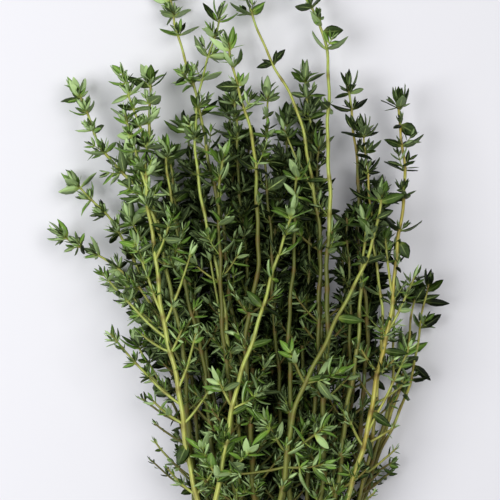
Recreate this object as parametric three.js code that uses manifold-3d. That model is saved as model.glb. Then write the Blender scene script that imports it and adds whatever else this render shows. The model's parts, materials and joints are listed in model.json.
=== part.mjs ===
// A bundle of fresh thyme, lying on a flat surface. Millimetres, +Z up, +Y from the cut ends to the tips.
// The origin is on the surface, under a straight sprig of the bottom layer.
// Each sprig grew as one piece, so it is one solid: its stem, its side shoots and their leaf pairs.
import * as THREE from "three";
import { mergeVertices } from "three/addons/utils/BufferGeometryUtils.js";
import Module from "manifold-3d";

const wasm = await Module();
wasm.setup();

// Half the thickness of a stem and of a side shoot, at the foot and at the tip. Thyme's are square.
// Those that lie on the surface are flattened underneath.
const STEM = { sides: 4, foot: 1.15, tip: 0.5 };
const FLAT_STEM = { sides: 6, foot: 1.05, tip: 0.45 };
const SHOOT = { sides: 4, foot: 0.55, tip: 0.35 };

// A stem has a joint every so often, counted from the tip, down to where it is bare. The joints are
// close together near the tip, and each gap is wider than the one before it, up to the widest.
const JOINTS = { first: 3, gap: 6, widening: 1.4, widest: 13 };
const LEAFY_FROM = -96;

// A pair of leaves grows on both sides of a joint, pointing forward and a little up.
const LEAF = { length: 8, halfWidth: 1.35, forward: 4, rise: 1.2, clearance: 0.8 };
const LEAVES_BEFORE_SHOOT_TIP = [4, 11];
const SHORTEST_SHOOT = 10;

// The sprigs lie in layers, one above another. The pile is thickest across the middle of the bundle, and
// its sprigs hang down towards the surface at their tips and at its sides.
const LAYER = { middle: 4.6, foot: 2.4, tips: 1.5 };
const PILE = { x: 5, y: -15, halfWidth: 65, toFoot: 135, toTips: 115, droop: 0.4 };

// Room kept between the parts of different sprigs, measured between points this far apart along them.
const GAP = 0.8;
const SAMPLE_SPACING = 2;

// The sprigs, layer by layer from the surface up: the route of each stem from its cut end to its tip,
// the length of its longest ordinary side shoot (reach), and its own long branches: where on the stem
// each one leaves (by y) and where it ends.
const SPRIGS = [
  { layer: 0, route: [[-10, -150], [-15, -95], [-23, -60], [-36, -32]], reach: 14 },
  { layer: 0, route: [[-5, -151], [-12, -80], [-22, -25], [-36, 12]], reach: 15 },
  { layer: 0, route: [[0, -150], [0, -90], [0, -30], [0, 40]], reach: 13 },
  { layer: 0, route: [[7, -152], [13, -80], [19, -15], [22, 40]], reach: 15 },
  { layer: 0, route: [[14, -149], [27, -90], [38, -40], [46, 6]], reach: 16 },
  { layer: 0, route: [[22, -151], [38, -98], [50, -62], [57, -34]], reach: 14 },

  { layer: 1, route: [[-8, -149], [-13, -100], [-23, -54], [-47, -10]], reach: 18 },
  { layer: 1, route: [[-3, -151], [-9, -90], [-18, -30], [-32, 30]], reach: 18 },
  { layer: 1, route: [[4, -148], [2, -90], [-3, -20], [-8, 52]], reach: 17 },
  { layer: 1, route: [[10, -151], [15, -85], [17, -15], [22, 52]], reach: 17 },
  { layer: 1, route: [[17, -149], [30, -88], [41, -30], [47, 22]], reach: 17 },
  { layer: 1, route: [[24, -150], [40, -96], [54, -52], [61, -16]], reach: 15 },

  { layer: 2, route: [[-12, -151], [-17, -98], [-26, -62], [-41, -33]], reach: 14 },
  { layer: 2, route: [[-6, -149], [-14, -88], [-26, -30], [-44, 12]], reach: 18 },
  { layer: 2, route: [[1, -150], [-4, -85], [-13, -15], [-24, 46]], reach: 18 },
  { layer: 2, route: [[9, -148], [9, -80], [9, -5], [14, 48]], reach: 17 },
  { layer: 2, route: [[17, -151], [29, -85], [37, -25], [41, 28]], reach: 18 },
  { layer: 2, route: [[25, -150], [39, -94], [53, -62], [60, -40], [65, -12]], reach: 14 },

  { layer: 3, route: [[-10, -150], [-18, -95], [-30, -33], [-46, 4], [-64, 25]], reach: 20 },
  { layer: 3, route: [[-3, -151], [-9, -88], [-19, -30], [-30, 34]], reach: 20 },
  { layer: 3, route: [[4, -149], [2, -85], [-1, -15], [-6, 56]], reach: 18 },
  { layer: 3, route: [[12, -151], [15, -90], [20, -25], [22, 34], [20, 64]], reach: 18 },
  { layer: 3, route: [[19, -150], [27, -88], [34, -30], [34, 6]], reach: 18 },
  { layer: 3, route: [[25, -149], [38, -93], [47, -70], [51, -47], [53, -18]], reach: 14 },

  { layer: 4, route: [[-8, -151], [-15, -92], [-27, -35], [-46, -8], [-69, 6]], reach: 20 },
  { layer: 4, route: [[-2, -150], [-8, -90], [-17, -32], [-32, 8], [-44, 34]], reach: 18 },
  { layer: 4, route: [[5, -149], [2, -90], [-5, -30], [-13, 25], [-21, 60], [-30, 94]], reach: 20 },
  { layer: 4, route: [[12, -150], [12, -88], [9, -28], [6, 32], [6, 57]], reach: 18 },
  { layer: 4, route: [[17, -151], [24, -88], [26, -30], [24, 10], [25, 38]], reach: 18 },
  { layer: 4, route: [[21, -148], [36, -86], [42, -38], [39, 8], [38, 42], [36, 60]], reach: 18 },

  { layer: 5, route: [[-12, -149], [-20, -92], [-24, -38], [-37, 17], [-54, 38], [-63, 58]], reach: 22 },
  { layer: 5, route: [[-4, -150], [-11, -90], [-17, -40], [-27, 8], [-30, 36]], reach: 18 },
  {
    layer: 5,
    route: [[3, -151], [-3, -90], [-6, -44], [-14, 4], [-20, 35], [-17, 62], [-11, 86]],
    reach: 18,
    branches: [[-43, [-15, 0]]],
  },
  {
    layer: 5,
    route: [[13, -149], [20, -90], [25, -18], [23, 22], [17, 49], [8, 69], [-3, 94]],
    reach: 18,
    branches: [[20, [12, 44]]],
  },
  { layer: 5, route: [[19, -150], [29, -90], [36, -40], [35, -8], [35, 12]], reach: 16 },
  { layer: 5, route: [[25, -151], [39, -92], [47, -38], [45, 0], [42, 26], [41, 44]], reach: 16 },

  {
    layer: 6,
    route: [[-11, -150], [-19, -90], [-27, -43], [-34, -3], [-37, 29], [-36, 62]],
    reach: 16,
    branches: [
      [-55, [-50, -30]], [-50, [-19, -29]], [-32, [-53, -8]], [-26, [-21, -1]], [-25, [-41, 3]],
      [-4, [-28, 12]], [21, [-45, 49]], [38, [-46, 64]],
    ],
  },
  { layer: 6, route: [[-2, -148], [-5, -90], [-8, -42], [-11, -5], [-10, 34]], reach: 16 },
  { layer: 6, route: [[8, -151], [2, -90], [-1, -30], [3, 0], [1, 36], [-8, 75]], reach: 16 },
  { layer: 6, route: [[12, -150], [14, -90], [14, -40], [15, -5], [17, 28]], reach: 16 },
  { layer: 6, route: [[16, -149], [25, -90], [27, -36], [28, 14], [28, 60], [26, 81], [18, 96]], reach: 12 },
  { layer: 6, route: [[20, -149], [30, -90], [36, -48], [40, -12], [41, 12]], reach: 14 },
  {
    layer: 6,
    route: [[24, -150], [34, -94], [44, -54], [51, -14], [55, 22], [54, 54]],
    reach: 14,
    branches: [[-68, [57, -34]], [-30, [59, -9]], [-16, [48, 4]]],
  },

  { layer: 7, route: [[-9, -149], [-12, -90], [-5, -52], [2, -27], [10, -3], [15, 14]], reach: 18 },
  {
    layer: 7,
    route: [[6, -150], [10, -94], [17, -54], [28, -29], [40, -7], [47, 20]],
    reach: 18,
    branches: [[-77, [-7, -79]], [-77, [26, -76]]],
  },
];

const UP = new THREE.Vector3(0, 0, 1);
const DEGREES = Math.PI / 180;

// Evenly spread numbers from 0 to 1 that look unordered.
const spread = (n) => (Math.abs(n) * 0.6180339887) % 1;

// How high the underside of a stem of that layer is over the surface at a place.
function layerHeight(layer, { x, y }) {
  const [reach, end] = y < PILE.y ? [PILE.toFoot, LAYER.foot] : [PILE.toTips, LAYER.tips];
  const along = Math.min(1, Math.abs(y - PILE.y) / reach);
  const across = (x - PILE.x) / PILE.halfWidth;
  const thickness = end + (LAYER.middle - end) * (1 - along * along) ** 2;
  return layer * thickness * (1 - PILE.droop * across * across);
}

// A stem or shoot: its route on the plan, its thickness, and how much its tip is lifted off its layer.
function makeStem(route, layer, size, lift) {
  const stem = { route, layer, size, lift, length: route.getLength(), leaves: [] };
  // The centre of the stem at a share of its length, with the level directions along and beside it.
  stem.at = (share) => {
    const point = route.getPointAt(share);
    const along = route.getTangentAt(share);
    const halfWidth = THREE.MathUtils.lerp(size.foot, size.tip, share);
    point.z = halfWidth + layerHeight(layer, point) + lift * share;
    return { point, along, beside: along.clone().cross(UP), halfWidth };
  };
  return stem;
}

function samplesOf(stem) {
  const count = Math.ceil(stem.length / SAMPLE_SPACING);
  return Array.from({ length: count + 1 }, (_, i) => stem.at(i / count).point);
}

// Points taken so far, with their sprig's number, so that nothing grows through another sprig.
const taken = [];

function take(points, radius, sprig) {
  for (const point of points) taken.push({ point, radius, sprig });
}

function isClear(points, radius, sprig) {
  const others = taken.filter((other) => other.sprig !== sprig);
  return points.every((point) =>
    others.every((other) => point.distanceTo(other.point) > radius + other.radius + GAP),
  );
}

// A side shoot from a share of the stem's length to an end, bowed back a little from the straight line.
function makeShoot(stem, share, end, lift) {
  const { point, along } = stem.at(share);
  const start = point.clone().setZ(0);
  const control = start.clone().lerp(end, 0.5).addScaledVector(along, -0.1 * start.distanceTo(end));
  return makeStem(new THREE.QuadraticBezierCurve3(start, control, end), stem.layer, SHOOT, lift);
}

// Keeps a shoot if it is clear of the other sprigs. Its first 2 mm are inside its own stem.
function keepShoot(sprig, shoot, number) {
  const points = samplesOf(shoot).slice(1);
  if (!isClear(points, SHOOT.foot, number)) return false;
  take(points, SHOOT.foot, number);
  sprig.shoots.push(shoot);
  return true;
}

// The share of the stem's length at which it passes a y.
function shareAtY(stem, y) {
  let low = 0;
  let high = 1;
  for (let i = 0; i < 20; i++) {
    const middle = (low + high) / 2;
    if (stem.at(middle).point.y < y) low = middle;
    else high = middle;
  }
  return low;
}

// The joints of a stem, as shares of its length, from the tip down.
function jointsOf(stem) {
  const joints = [];
  let rest = JOINTS.first;
  let gap = JOINTS.gap;
  while (rest < stem.length) {
    const share = 1 - rest / stem.length;
    if (stem.at(share).point.y > LEAFY_FROM) joints.push(share);
    rest += gap;
    gap = Math.min(JOINTS.widest, gap + JOINTS.widening);
  }
  return joints;
}

// The long branches of a sprig, each as long as the other sprigs allow.
function growBranches(sprig, number) {
  for (const [fromY, [x, y]] of sprig.branches ?? []) {
    const share = shareAtY(sprig.stem, fromY);
    const start = sprig.stem.at(share).point.setZ(0);
    const end = new THREE.Vector3(x, y, 0);
    for (const part of [1, 0.85, 0.7, 0.55]) {
      const shoot = makeShoot(sprig.stem, share, start.clone().lerp(end, part), 2);
      if (keepShoot(sprig, shoot, number)) break;
    }
  }
}

// How long the ordinary side shoots of a joint are: every second joint has them, longest low down.
function shootLength(sprig, share, joint) {
  const length = joint % 2 === 1 ? sprig.reach * Math.min(1, 1.5 * (1 - share)) : 0;
  return length < SHORTEST_SHOOT ? 0 : length;
}

// Ordinary side shoots on both sides of the stem.
function growShoots(sprig, number) {
  jointsOf(sprig.stem).forEach((share, joint) => {
    const { point, along, beside } = sprig.stem.at(share);
    for (const side of [-1, 1]) {
      const chance = spread(number * 7 + joint * 3 + side);
      const wish = shootLength(sprig, share, joint) * (0.8 + 0.4 * chance);
      const angle = (34 + 16 * chance) * DEGREES;
      for (const part of [1, 0.75, 0.5]) {
        const length = wish * part;
        if (length < SHORTEST_SHOOT) break;
        const end = point.clone().setZ(0);
        end.addScaledVector(along, length * Math.cos(angle));
        end.addScaledVector(beside, side * length * Math.sin(angle));
        if (keepShoot(sprig, makeShoot(sprig.stem, share, end, 1.5 * chance), number)) break;
      }
    }
  });
}

// One leaf's points: where it leaves the stem's side, its middle and its tip.
function leafPoints({ point, along, beside }, side, length, rise) {
  const share = length / LEAF.length;
  const tip = point.clone().addScaledVector(beside, side * length);
  tip.addScaledVector(along, LEAF.forward * share).addScaledVector(UP, rise * share);
  return { tip, middle: point.clone().lerp(tip, 0.5) };
}

// A pair of leaves at a share of a stem, as long as the other sprigs allow.
function growLeafPair(stem, share, number) {
  const place = stem.at(share);
  const rise = LEAF.rise * spread(number + 11 * stem.leaves.length + place.point.y);
  for (const part of [1, 0.75, 0.5]) {
    const length = LEAF.length * part;
    const pair = [-1, 1].map((side) => leafPoints(place, side, length, rise));
    const points = pair.flatMap(({ tip, middle }) => [tip, middle]);
    if (!isClear(points, LEAF.clearance, number)) continue;
    take(points, LEAF.clearance, number);
    stem.leaves.push({ share, tips: pair.map(({ tip }) => tip) });
    return;
  }
}

function growLeaves(sprig, number) {
  jointsOf(sprig.stem).forEach((share, joint) => {
    if (shootLength(sprig, share, joint) === 0) growLeafPair(sprig.stem, share, number);
  });
  for (const shoot of sprig.shoots) {
    for (const rest of LEAVES_BEFORE_SHOOT_TIP) {
      if (rest + LEAF.halfWidth < shoot.length) growLeafPair(shoot, 1 - rest / shoot.length, number);
    }
  }
}

// The corners of a stem's section at a share of its length, from its right side round over its top.
function sectionOf(stem, share) {
  const { point, beside, halfWidth } = stem.at(share);
  const { sides } = stem.size;
  const toCorner = stem.size === FLAT_STEM ? halfWidth / Math.cos(Math.PI / 6) : halfWidth;
  return Array.from({ length: sides }, (_, i) => {
    const angle = (i / sides) * 2 * Math.PI;
    return point
      .clone()
      .addScaledVector(beside, toCorner * Math.cos(angle))
      .addScaledVector(UP, toCorner * Math.sin(angle));
  });
}

// Sections from foot to tip. At a leaf pair, the two side corners of the section are the leaves' tips.
function sectionsOf(stem) {
  const leaves = [...stem.leaves].sort((a, b) => a.share - b.share);
  const first = leaves.length ? leaves[0].share : 1;
  const shares = stem.size === SHOOT ? [0] : [0, 0.35, 0.7].map((part) => part * first);
  const sections = shares.map((share) => sectionOf(stem, share));
  const halfLeaf = LEAF.halfWidth / stem.length;
  for (const { share, tips } of leaves) {
    const middle = sectionOf(stem, share);
    middle[0] = tips[1];
    middle[stem.size.sides / 2] = tips[0];
    sections.push(sectionOf(stem, share - halfLeaf), middle, sectionOf(stem, share + halfLeaf));
  }
  sections.push(sectionOf(stem, 1));
  return sections;
}

// A closed solid through sections of equally many corners: a cylinder, with each ring moved to its section.
function solidThrough(sections) {
  const sides = sections[0].length;
  const steps = sections.length - 1;
  const tube = new THREE.CylinderGeometry(1, 1, 1, sides, steps, false, Math.PI / 2);
  const position = tube.getAttribute("position");
  for (let i = 0; i < position.count; i++) {
    const [x, y, z] = [position.getX(i), position.getY(i), position.getZ(i)];
    const section = sections[Math.round((y + 0.5) * steps)];
    const corner = Math.round((Math.atan2(z, x) / (2 * Math.PI)) * sides + sides) % sides;
    const isCapCentre = Math.hypot(x, z) < 0.5;
    const centre = section[0].clone().lerp(section[sides / 2], 0.5);
    position.setXYZ(i, ...(isCapCentre ? centre : section[corner]));
  }
  tube.deleteAttribute("normal");
  tube.deleteAttribute("uv");
  const merged = mergeVertices(tube);
  return new wasm.Manifold(
    new wasm.Mesh({
      numProp: 3,
      vertProperties: merged.getAttribute("position").array,
      triVerts: new Uint32Array(merged.index.array),
    }),
  );
}

// Stems have the first choice of place, then branches, then ordinary shoots, then leaves.
const sprigs = SPRIGS.map((sprig) => {
  const route = new THREE.CatmullRomCurve3(sprig.route.map(([x, y]) => new THREE.Vector3(x, y, 0)));
  const size = sprig.layer === 0 ? FLAT_STEM : STEM;
  return { ...sprig, stem: makeStem(route, sprig.layer, size, 0), shoots: [] };
});
sprigs.forEach(({ stem }, number) => take(samplesOf(stem), stem.size.foot, number));
sprigs.forEach(growBranches);
sprigs.forEach(growShoots);
sprigs.forEach(growLeaves);

const leafGreen = new THREE.MeshStandardMaterial({ color: 0x4c6b35, roughness: 0.55, metalness: 0 });

const bundle = new THREE.Group();
sprigs.forEach((sprig, number) => {
  let solid = solidThrough(sectionsOf(sprig.stem));
  for (const shoot of sprig.shoots) solid = solid.add(solidThrough(sectionsOf(shoot)));
  const { vertProperties, triVerts } = solid.getMesh();
  const geometry = new THREE.BufferGeometry()
    .setAttribute("position", new THREE.BufferAttribute(vertProperties, 3))
    .setIndex(new THREE.BufferAttribute(triVerts, 1));
  geometry.computeVertexNormals();
  const mesh = new THREE.Mesh(geometry, leafGreen);
  mesh.name = `sprig_${String(number + 1).padStart(2, "0")}`;
  bundle.add(mesh);
});

export default bundle;
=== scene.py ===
"""A bundle of fresh thyme, lying on a pale surface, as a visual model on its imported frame.

The bundle is 45 sprigs in eight layers. Each sprig is a square stem with side shoots, opposite pairs of
leaves, tufts of small leaves in their axils and a rosette at each tip. The frame fixes where each sprig
lies; this file grows the plant on it. Plans are in millimetres, meshes in metres, +Z is up and +Y runs
from the cut ends to the tips.
"""

import bisect
import json
import logging
import math
import random
from dataclasses import dataclass, field, replace
from enum import Enum, IntEnum
from typing import Any, Iterator, Sequence

import bpy
from mathutils import Matrix, Vector

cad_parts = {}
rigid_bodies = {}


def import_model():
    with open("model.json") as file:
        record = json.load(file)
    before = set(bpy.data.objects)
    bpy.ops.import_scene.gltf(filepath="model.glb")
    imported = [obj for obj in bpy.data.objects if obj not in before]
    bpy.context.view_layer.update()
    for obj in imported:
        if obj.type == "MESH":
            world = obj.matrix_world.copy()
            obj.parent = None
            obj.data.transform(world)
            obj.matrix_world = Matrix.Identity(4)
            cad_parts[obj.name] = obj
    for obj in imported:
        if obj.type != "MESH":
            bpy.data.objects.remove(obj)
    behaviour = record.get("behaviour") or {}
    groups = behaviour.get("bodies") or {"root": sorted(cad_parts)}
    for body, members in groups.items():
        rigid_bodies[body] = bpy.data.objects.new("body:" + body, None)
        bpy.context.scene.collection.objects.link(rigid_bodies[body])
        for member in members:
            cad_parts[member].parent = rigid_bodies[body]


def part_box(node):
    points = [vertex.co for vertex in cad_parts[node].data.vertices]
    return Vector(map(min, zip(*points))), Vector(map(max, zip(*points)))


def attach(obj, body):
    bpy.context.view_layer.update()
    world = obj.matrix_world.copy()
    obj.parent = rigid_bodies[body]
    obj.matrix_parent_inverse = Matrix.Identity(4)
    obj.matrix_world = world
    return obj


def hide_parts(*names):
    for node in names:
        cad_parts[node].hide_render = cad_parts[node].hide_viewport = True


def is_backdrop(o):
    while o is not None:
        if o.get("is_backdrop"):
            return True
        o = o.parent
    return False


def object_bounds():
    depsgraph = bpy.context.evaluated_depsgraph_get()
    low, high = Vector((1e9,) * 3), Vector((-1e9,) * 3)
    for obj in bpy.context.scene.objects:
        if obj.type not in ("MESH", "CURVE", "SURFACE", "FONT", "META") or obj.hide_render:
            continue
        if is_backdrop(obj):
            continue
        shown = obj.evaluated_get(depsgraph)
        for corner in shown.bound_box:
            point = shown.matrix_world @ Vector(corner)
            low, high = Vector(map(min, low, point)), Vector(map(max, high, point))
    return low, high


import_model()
CAD_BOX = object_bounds()
LOG = logging.getLogger("thyme")
MM = 0.001
UP = Vector((0.0, 0.0, 1.0))
Pair = tuple[float, float]
SEED = 5  # The first sprig's seed
SEED_STEP = 97  # From one sprig's seed to the next
GOLDEN = 0.6180339887  # The golden ratio, less 1
HALVINGS = 20  # How finely a place on a stem is searched for


# ---- Node maths ------------------------------------------


class Sock:
    """A node's output that can be used in Python expressions. Each operator adds one Math node."""

    def __init__(self, tree: "Tree", socket: bpy.types.NodeSocket) -> None:
        """Wraps an output socket of a tree."""
        self.tree = tree
        self.socket = socket

    def _math(self, operation: str, *values: Any) -> "Sock":
        """Adds a Math node of that operation on these values."""
        return self.tree.node("ShaderNodeMath", {"operation": operation}, dict(enumerate(values)))

    def __add__(self, other: Any) -> "Sock":
        """Returns self + other."""
        return self._math("ADD", self, other)

    __radd__ = __add__

    def __sub__(self, other: Any) -> "Sock":
        """Returns self - other."""
        return self._math("SUBTRACT", self, other)

    def __rsub__(self, other: Any) -> "Sock":
        """Returns other - self."""
        return self._math("SUBTRACT", other, self)

    def __mul__(self, other: Any) -> "Sock":
        """Returns self * other."""
        return self._math("MULTIPLY", self, other)

    __rmul__ = __mul__

    def __truediv__(self, other: Any) -> "Sock":
        """Returns self / other."""
        return self._math("DIVIDE", self, other)

    def __mod__(self, other: Any) -> "Sock":
        """Returns the rest of self / other."""
        return self._math("MODULO", self, other)

    def __gt__(self, other: Any) -> "Sock":
        """Returns 1 where self is greater than other, else 0."""
        return self._math("GREATER_THAN", self, other)

    def __abs__(self) -> "Sock":
        """Returns the size of self without its sign."""
        return self._math("ABSOLUTE", self)

    def least(self, other: Any) -> "Sock":
        """Returns the smaller of self and other."""
        return self._math("MINIMUM", self, other)

    def most(self, other: Any) -> "Sock":
        """Returns the larger of self and other."""
        return self._math("MAXIMUM", self, other)

    def exponential(self) -> "Sock":
        """Returns e to the power of self."""
        return self._math("EXPONENT", self)

    def fraction(self) -> "Sock":
        """Returns the part of self after the point."""
        return self._math("FRACT", self)

    def beside(self, output: int | str) -> "Sock":
        """Returns another output of the same node."""
        return Sock(self.tree, self.socket.node.outputs[output])

    def ramp(self, low: float, high: float) -> "Sock":
        """Returns a smooth step of self from 0 at low to 1 at high. Low may be the larger one."""
        inputs = {"Value": self, "From Min": low, "From Max": high}
        return self.tree.node("ShaderNodeMapRange", {"interpolation_type": "SMOOTHSTEP"}, inputs)


class Tree:
    """A node tree in the making."""

    def __init__(self, graph: bpy.types.NodeTree) -> None:
        """Starts on a node tree."""
        self.graph = graph

    def node(
        self, kind: str, settings: dict[str, Any], inputs: dict[Any, Any], output: int | str = 0
    ) -> Sock:
        """Adds any node.

        Args:
            kind: The node's type.
            settings: Attributes of the node, set before its sockets.
            inputs: Values or Socks by the socket's name or number.
            output: The name or number of the output that is wanted.

        Returns:
            The wanted output.
        """
        made = self.graph.nodes.new(kind)
        for name, value in settings.items():
            setattr(made, name, value)
        for name, value in inputs.items():
            self.feed(made.inputs[name], value)
        return Sock(self, made.outputs[output])

    def feed(self, socket: bpy.types.NodeSocket, value: Any) -> None:
        """Links a Sock to an input socket, or sets the socket's value.

        Args:
            socket: The input socket.
            value: The Sock or the value.
        """
        if isinstance(value, Sock):
            self.graph.links.new(value.socket, socket)
        else:
            socket.default_value = value


# ---- Materials -------------------------------------------


class Shader(Tree):
    """A material in the making: nodes by type, with the shader's own sockets at the end."""

    def __init__(self, name: str) -> None:
        """Starts a material with an empty principled shader.

        Args:
            name: The material's name.
        """
        self.material = bpy.data.materials.new(name)
        self.material.use_nodes = True
        super().__init__(self.material.node_tree)
        self.principled = self.graph.nodes["Principled BSDF"]

    def attribute(self, name: str) -> Sock:
        """Returns a number that the mesh stores under a name."""
        return self.node("ShaderNodeAttribute", {"attribute_name": name}, {}, "Fac")

    def place(self) -> Sock:
        """Returns the place on the piece, in metres."""
        return self.node("ShaderNodeTexCoord", {}, {}, "Object")

    def leaf_place(self) -> tuple[Sock, Sock]:
        """Finds a place on its leaf.

        Returns:
            How far it is off the midrib and along the leaf, both from 0 to 1.
        """
        map_place = self.node("ShaderNodeUVMap", {"uv_map": "UVMap"}, {})
        across = self.node("ShaderNodeSeparateXYZ", {}, {0: map_place})
        return abs(across * 2.0 - 1.0), across.beside(1)

    def noise(self, vector: Sock, scale: float, detail: float = 2.0) -> Sock:
        """Returns a cloudy pattern from 0 to 1, by its blobs per metre and its finer detail."""
        inputs = {"Vector": vector, "Scale": scale, "Detail": detail}
        return self.node("ShaderNodeTexNoise", {}, inputs, "Fac")

    def mix(self, share: Sock | float, low: Any, high: Any) -> Sock:
        """Returns a colour between two colours, by the share of the second one."""
        return self.node("ShaderNodeMix", {"data_type": "RGBA"}, {0: share, 6: low, 7: high}, 2)

    def bump(self, height: Sock, distance: float, strength: float) -> Sock:
        """Returns normals for a relief from 0 to 1, by its depth in metres and its strength."""
        inputs = {"Height": height, "Distance": distance, "Strength": strength}
        return self.node("ShaderNodeBump", {}, inputs)

    def finish(self, **inputs: Any) -> bpy.types.Material:
        """Feeds the shader's sockets.

        Args:
            inputs: Values or Socks by socket name, with _ for a space.

        Returns:
            The finished material.
        """
        for name, value in inputs.items():
            self.feed(self.principled.inputs[name.replace("_", " ")], value)
        return self.material


Colour = tuple[float, float, float, float]


def colour(red: int, green: int, blue: int) -> Colour:
    """Returns a screen colour, given from 0 to 255, as the linear colour that shaders use."""
    linear = [((c / 255 + 0.055) / 1.055) ** 2.4 if c > 10 else c / 3294.6 for c in (red, green, blue)]
    return (*linear, 1.0)


@dataclass(frozen=True)
class Freshness:
    """How much of its fresh colour a side of a leaf shows, from 0 to 1, by its youth, painted light and
    blotches.
    """

    youth: float  # How much the leaf's youth adds
    tone: float  # How much its painted light adds
    mottle: float  # How much its blotches add
    start: float  # The share without them

    def of(self, youth: Sock, tone: Sock, mottle: Sock) -> Sock:
        """Returns the share of the fresh colour."""
        return youth * self.youth + tone * self.tone + mottle * self.mottle + self.start


@dataclass(frozen=True)
class LeafFinish:
    """The look of thyme leaves: dark above with a paler midrib, grey green beneath, lighter where
    painted light falls on them and darker in painted shade.
    """

    dark: Colour = colour(9, 20, 1)  # The upper side of an old leaf, and of a leaf in painted shade
    fresh: Colour = colour(120, 164, 58)  # The upper side of a young leaf, and of a leaf in painted light
    beneath: Colour = colour(20, 36, 4)  # The under side of an old leaf, and of a leaf in painted shade
    beneath_fresh_and_lit: Colour = colour(178, 207, 141)  # The under side of a young leaf, and of a leaf in painted light
    rib: Colour = colour(192, 216, 130)  # The midrib and the veins
    stalk: Colour = colour(166, 184, 74)  # The foot of a leaf
    above: Freshness = Freshness(0.35, 0.8, 0.3, -0.38)  # How fresh and how lit by painted light the upper side is
    below: Freshness = Freshness(0.25, 0.9, 0.2, -0.2)  # How fresh and how lit by painted light the under side is
    turnover: Pair = (0.38, 0.62)  # Where on the rim the upper side becomes the under side
    rib_edge: Pair = (0.14, 0.03)  # From the midrib outwards, where it ends and where it is whole
    rib_end: Pair = (0.97, 0.5)  # Along the leaf, the same
    ribbing: float = 0.6  # How strongly the midrib shows
    veins: float = 5.0  # How many veins a half of a leaf has
    vein_slant: float = 1.6  # How far they slant towards the tip
    vein_edge: Pair = (0.09, 0.0)  # Off the middle of a vein, where it ends and where it is whole
    vein_end: Pair = (0.95, 0.6)  # Towards the rim, the same
    veining: Pair = (0.12, 0.15)  # How strongly the veins show, above and beneath
    rim: Pair = (0.6, 0.95)  # Towards the rim, where its dark edge starts and where it is whole
    rim_darkness: float = 0.5  # How dark that is
    stalk_end: Pair = (0.34, 0.0)  # Along the leaf, where the stalk's colour ends and where it is whole
    mottling: float = 900.0  # Blotches per metre
    glands: float = 3200.0  # Oil glands per metre
    relief: float = 0.00012  # How deep the relief is, in metres
    bloom: float = 0.5  # How strong the soft sheen of a light leaf is

    def material(self) -> bpy.types.Material:
        """Builds the leaf material.

        Returns:
            The material. It reads the leaf's UV map and its painted light, youth and under values.
        """
        shader = Shader("thyme_leaf")
        across, along = shader.leaf_place()
        tone, youth = shader.attribute("tone"), shader.attribute("youth")
        under = shader.attribute("under").ramp(*self.turnover)
        place = shader.place()
        mottle = shader.noise(place, self.mottling, 3.0)
        rib = across.ramp(*self.rib_edge) * along.ramp(*self.rib_end)
        wave = abs((along * self.veins - across * self.vein_slant).fraction() - 0.5)
        veins = wave.ramp(*self.vein_edge) * across.ramp(*self.vein_end)
        vein_above, vein_beneath = self.veining
        # Painted light and shade: the leaf's painted light, with its youth and blotches, blends its
        # colour from dark to fresh.
        upper = shader.mix(self.above.of(youth, tone, mottle), self.dark, self.fresh)
        upper = shader.mix(across.ramp(*self.rim) * self.rim_darkness, upper, self.dark)
        lines = (rib * self.ribbing + veins * vein_above) * (tone * 0.8 + 0.15)
        upper = shader.mix(lines, upper, self.rib)
        # The same painted light blends the under side.
        lower = shader.mix(self.below.of(youth, tone, mottle), self.beneath, self.beneath_fresh_and_lit)
        lower = shader.mix(rib * self.ribbing + veins * vein_beneath, lower, self.rib)
        stalk = along.ramp(*self.stalk_end) * (tone * 0.7 + 0.1)
        glands = shader.node(
            "ShaderNodeTexVoronoi", {}, {"Vector": place, "Scale": self.glands}, "Distance"
        )
        relief = mottle * 0.4 + glands.ramp(0.0, 0.5) * 0.35 - rib * 0.6 - veins * 0.25
        return shader.finish(
            Base_Color=shader.mix(stalk, shader.mix(under, upper, lower), self.stalk),
            Roughness=under * 0.2 + mottle * 0.2 + 0.4,
            Normal=shader.bump(relief, self.relief, 0.6),
            Specular_IOR_Level=0.12,
            Coat_Weight=tone * self.bloom,
            Coat_Roughness=0.32,
        )


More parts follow.
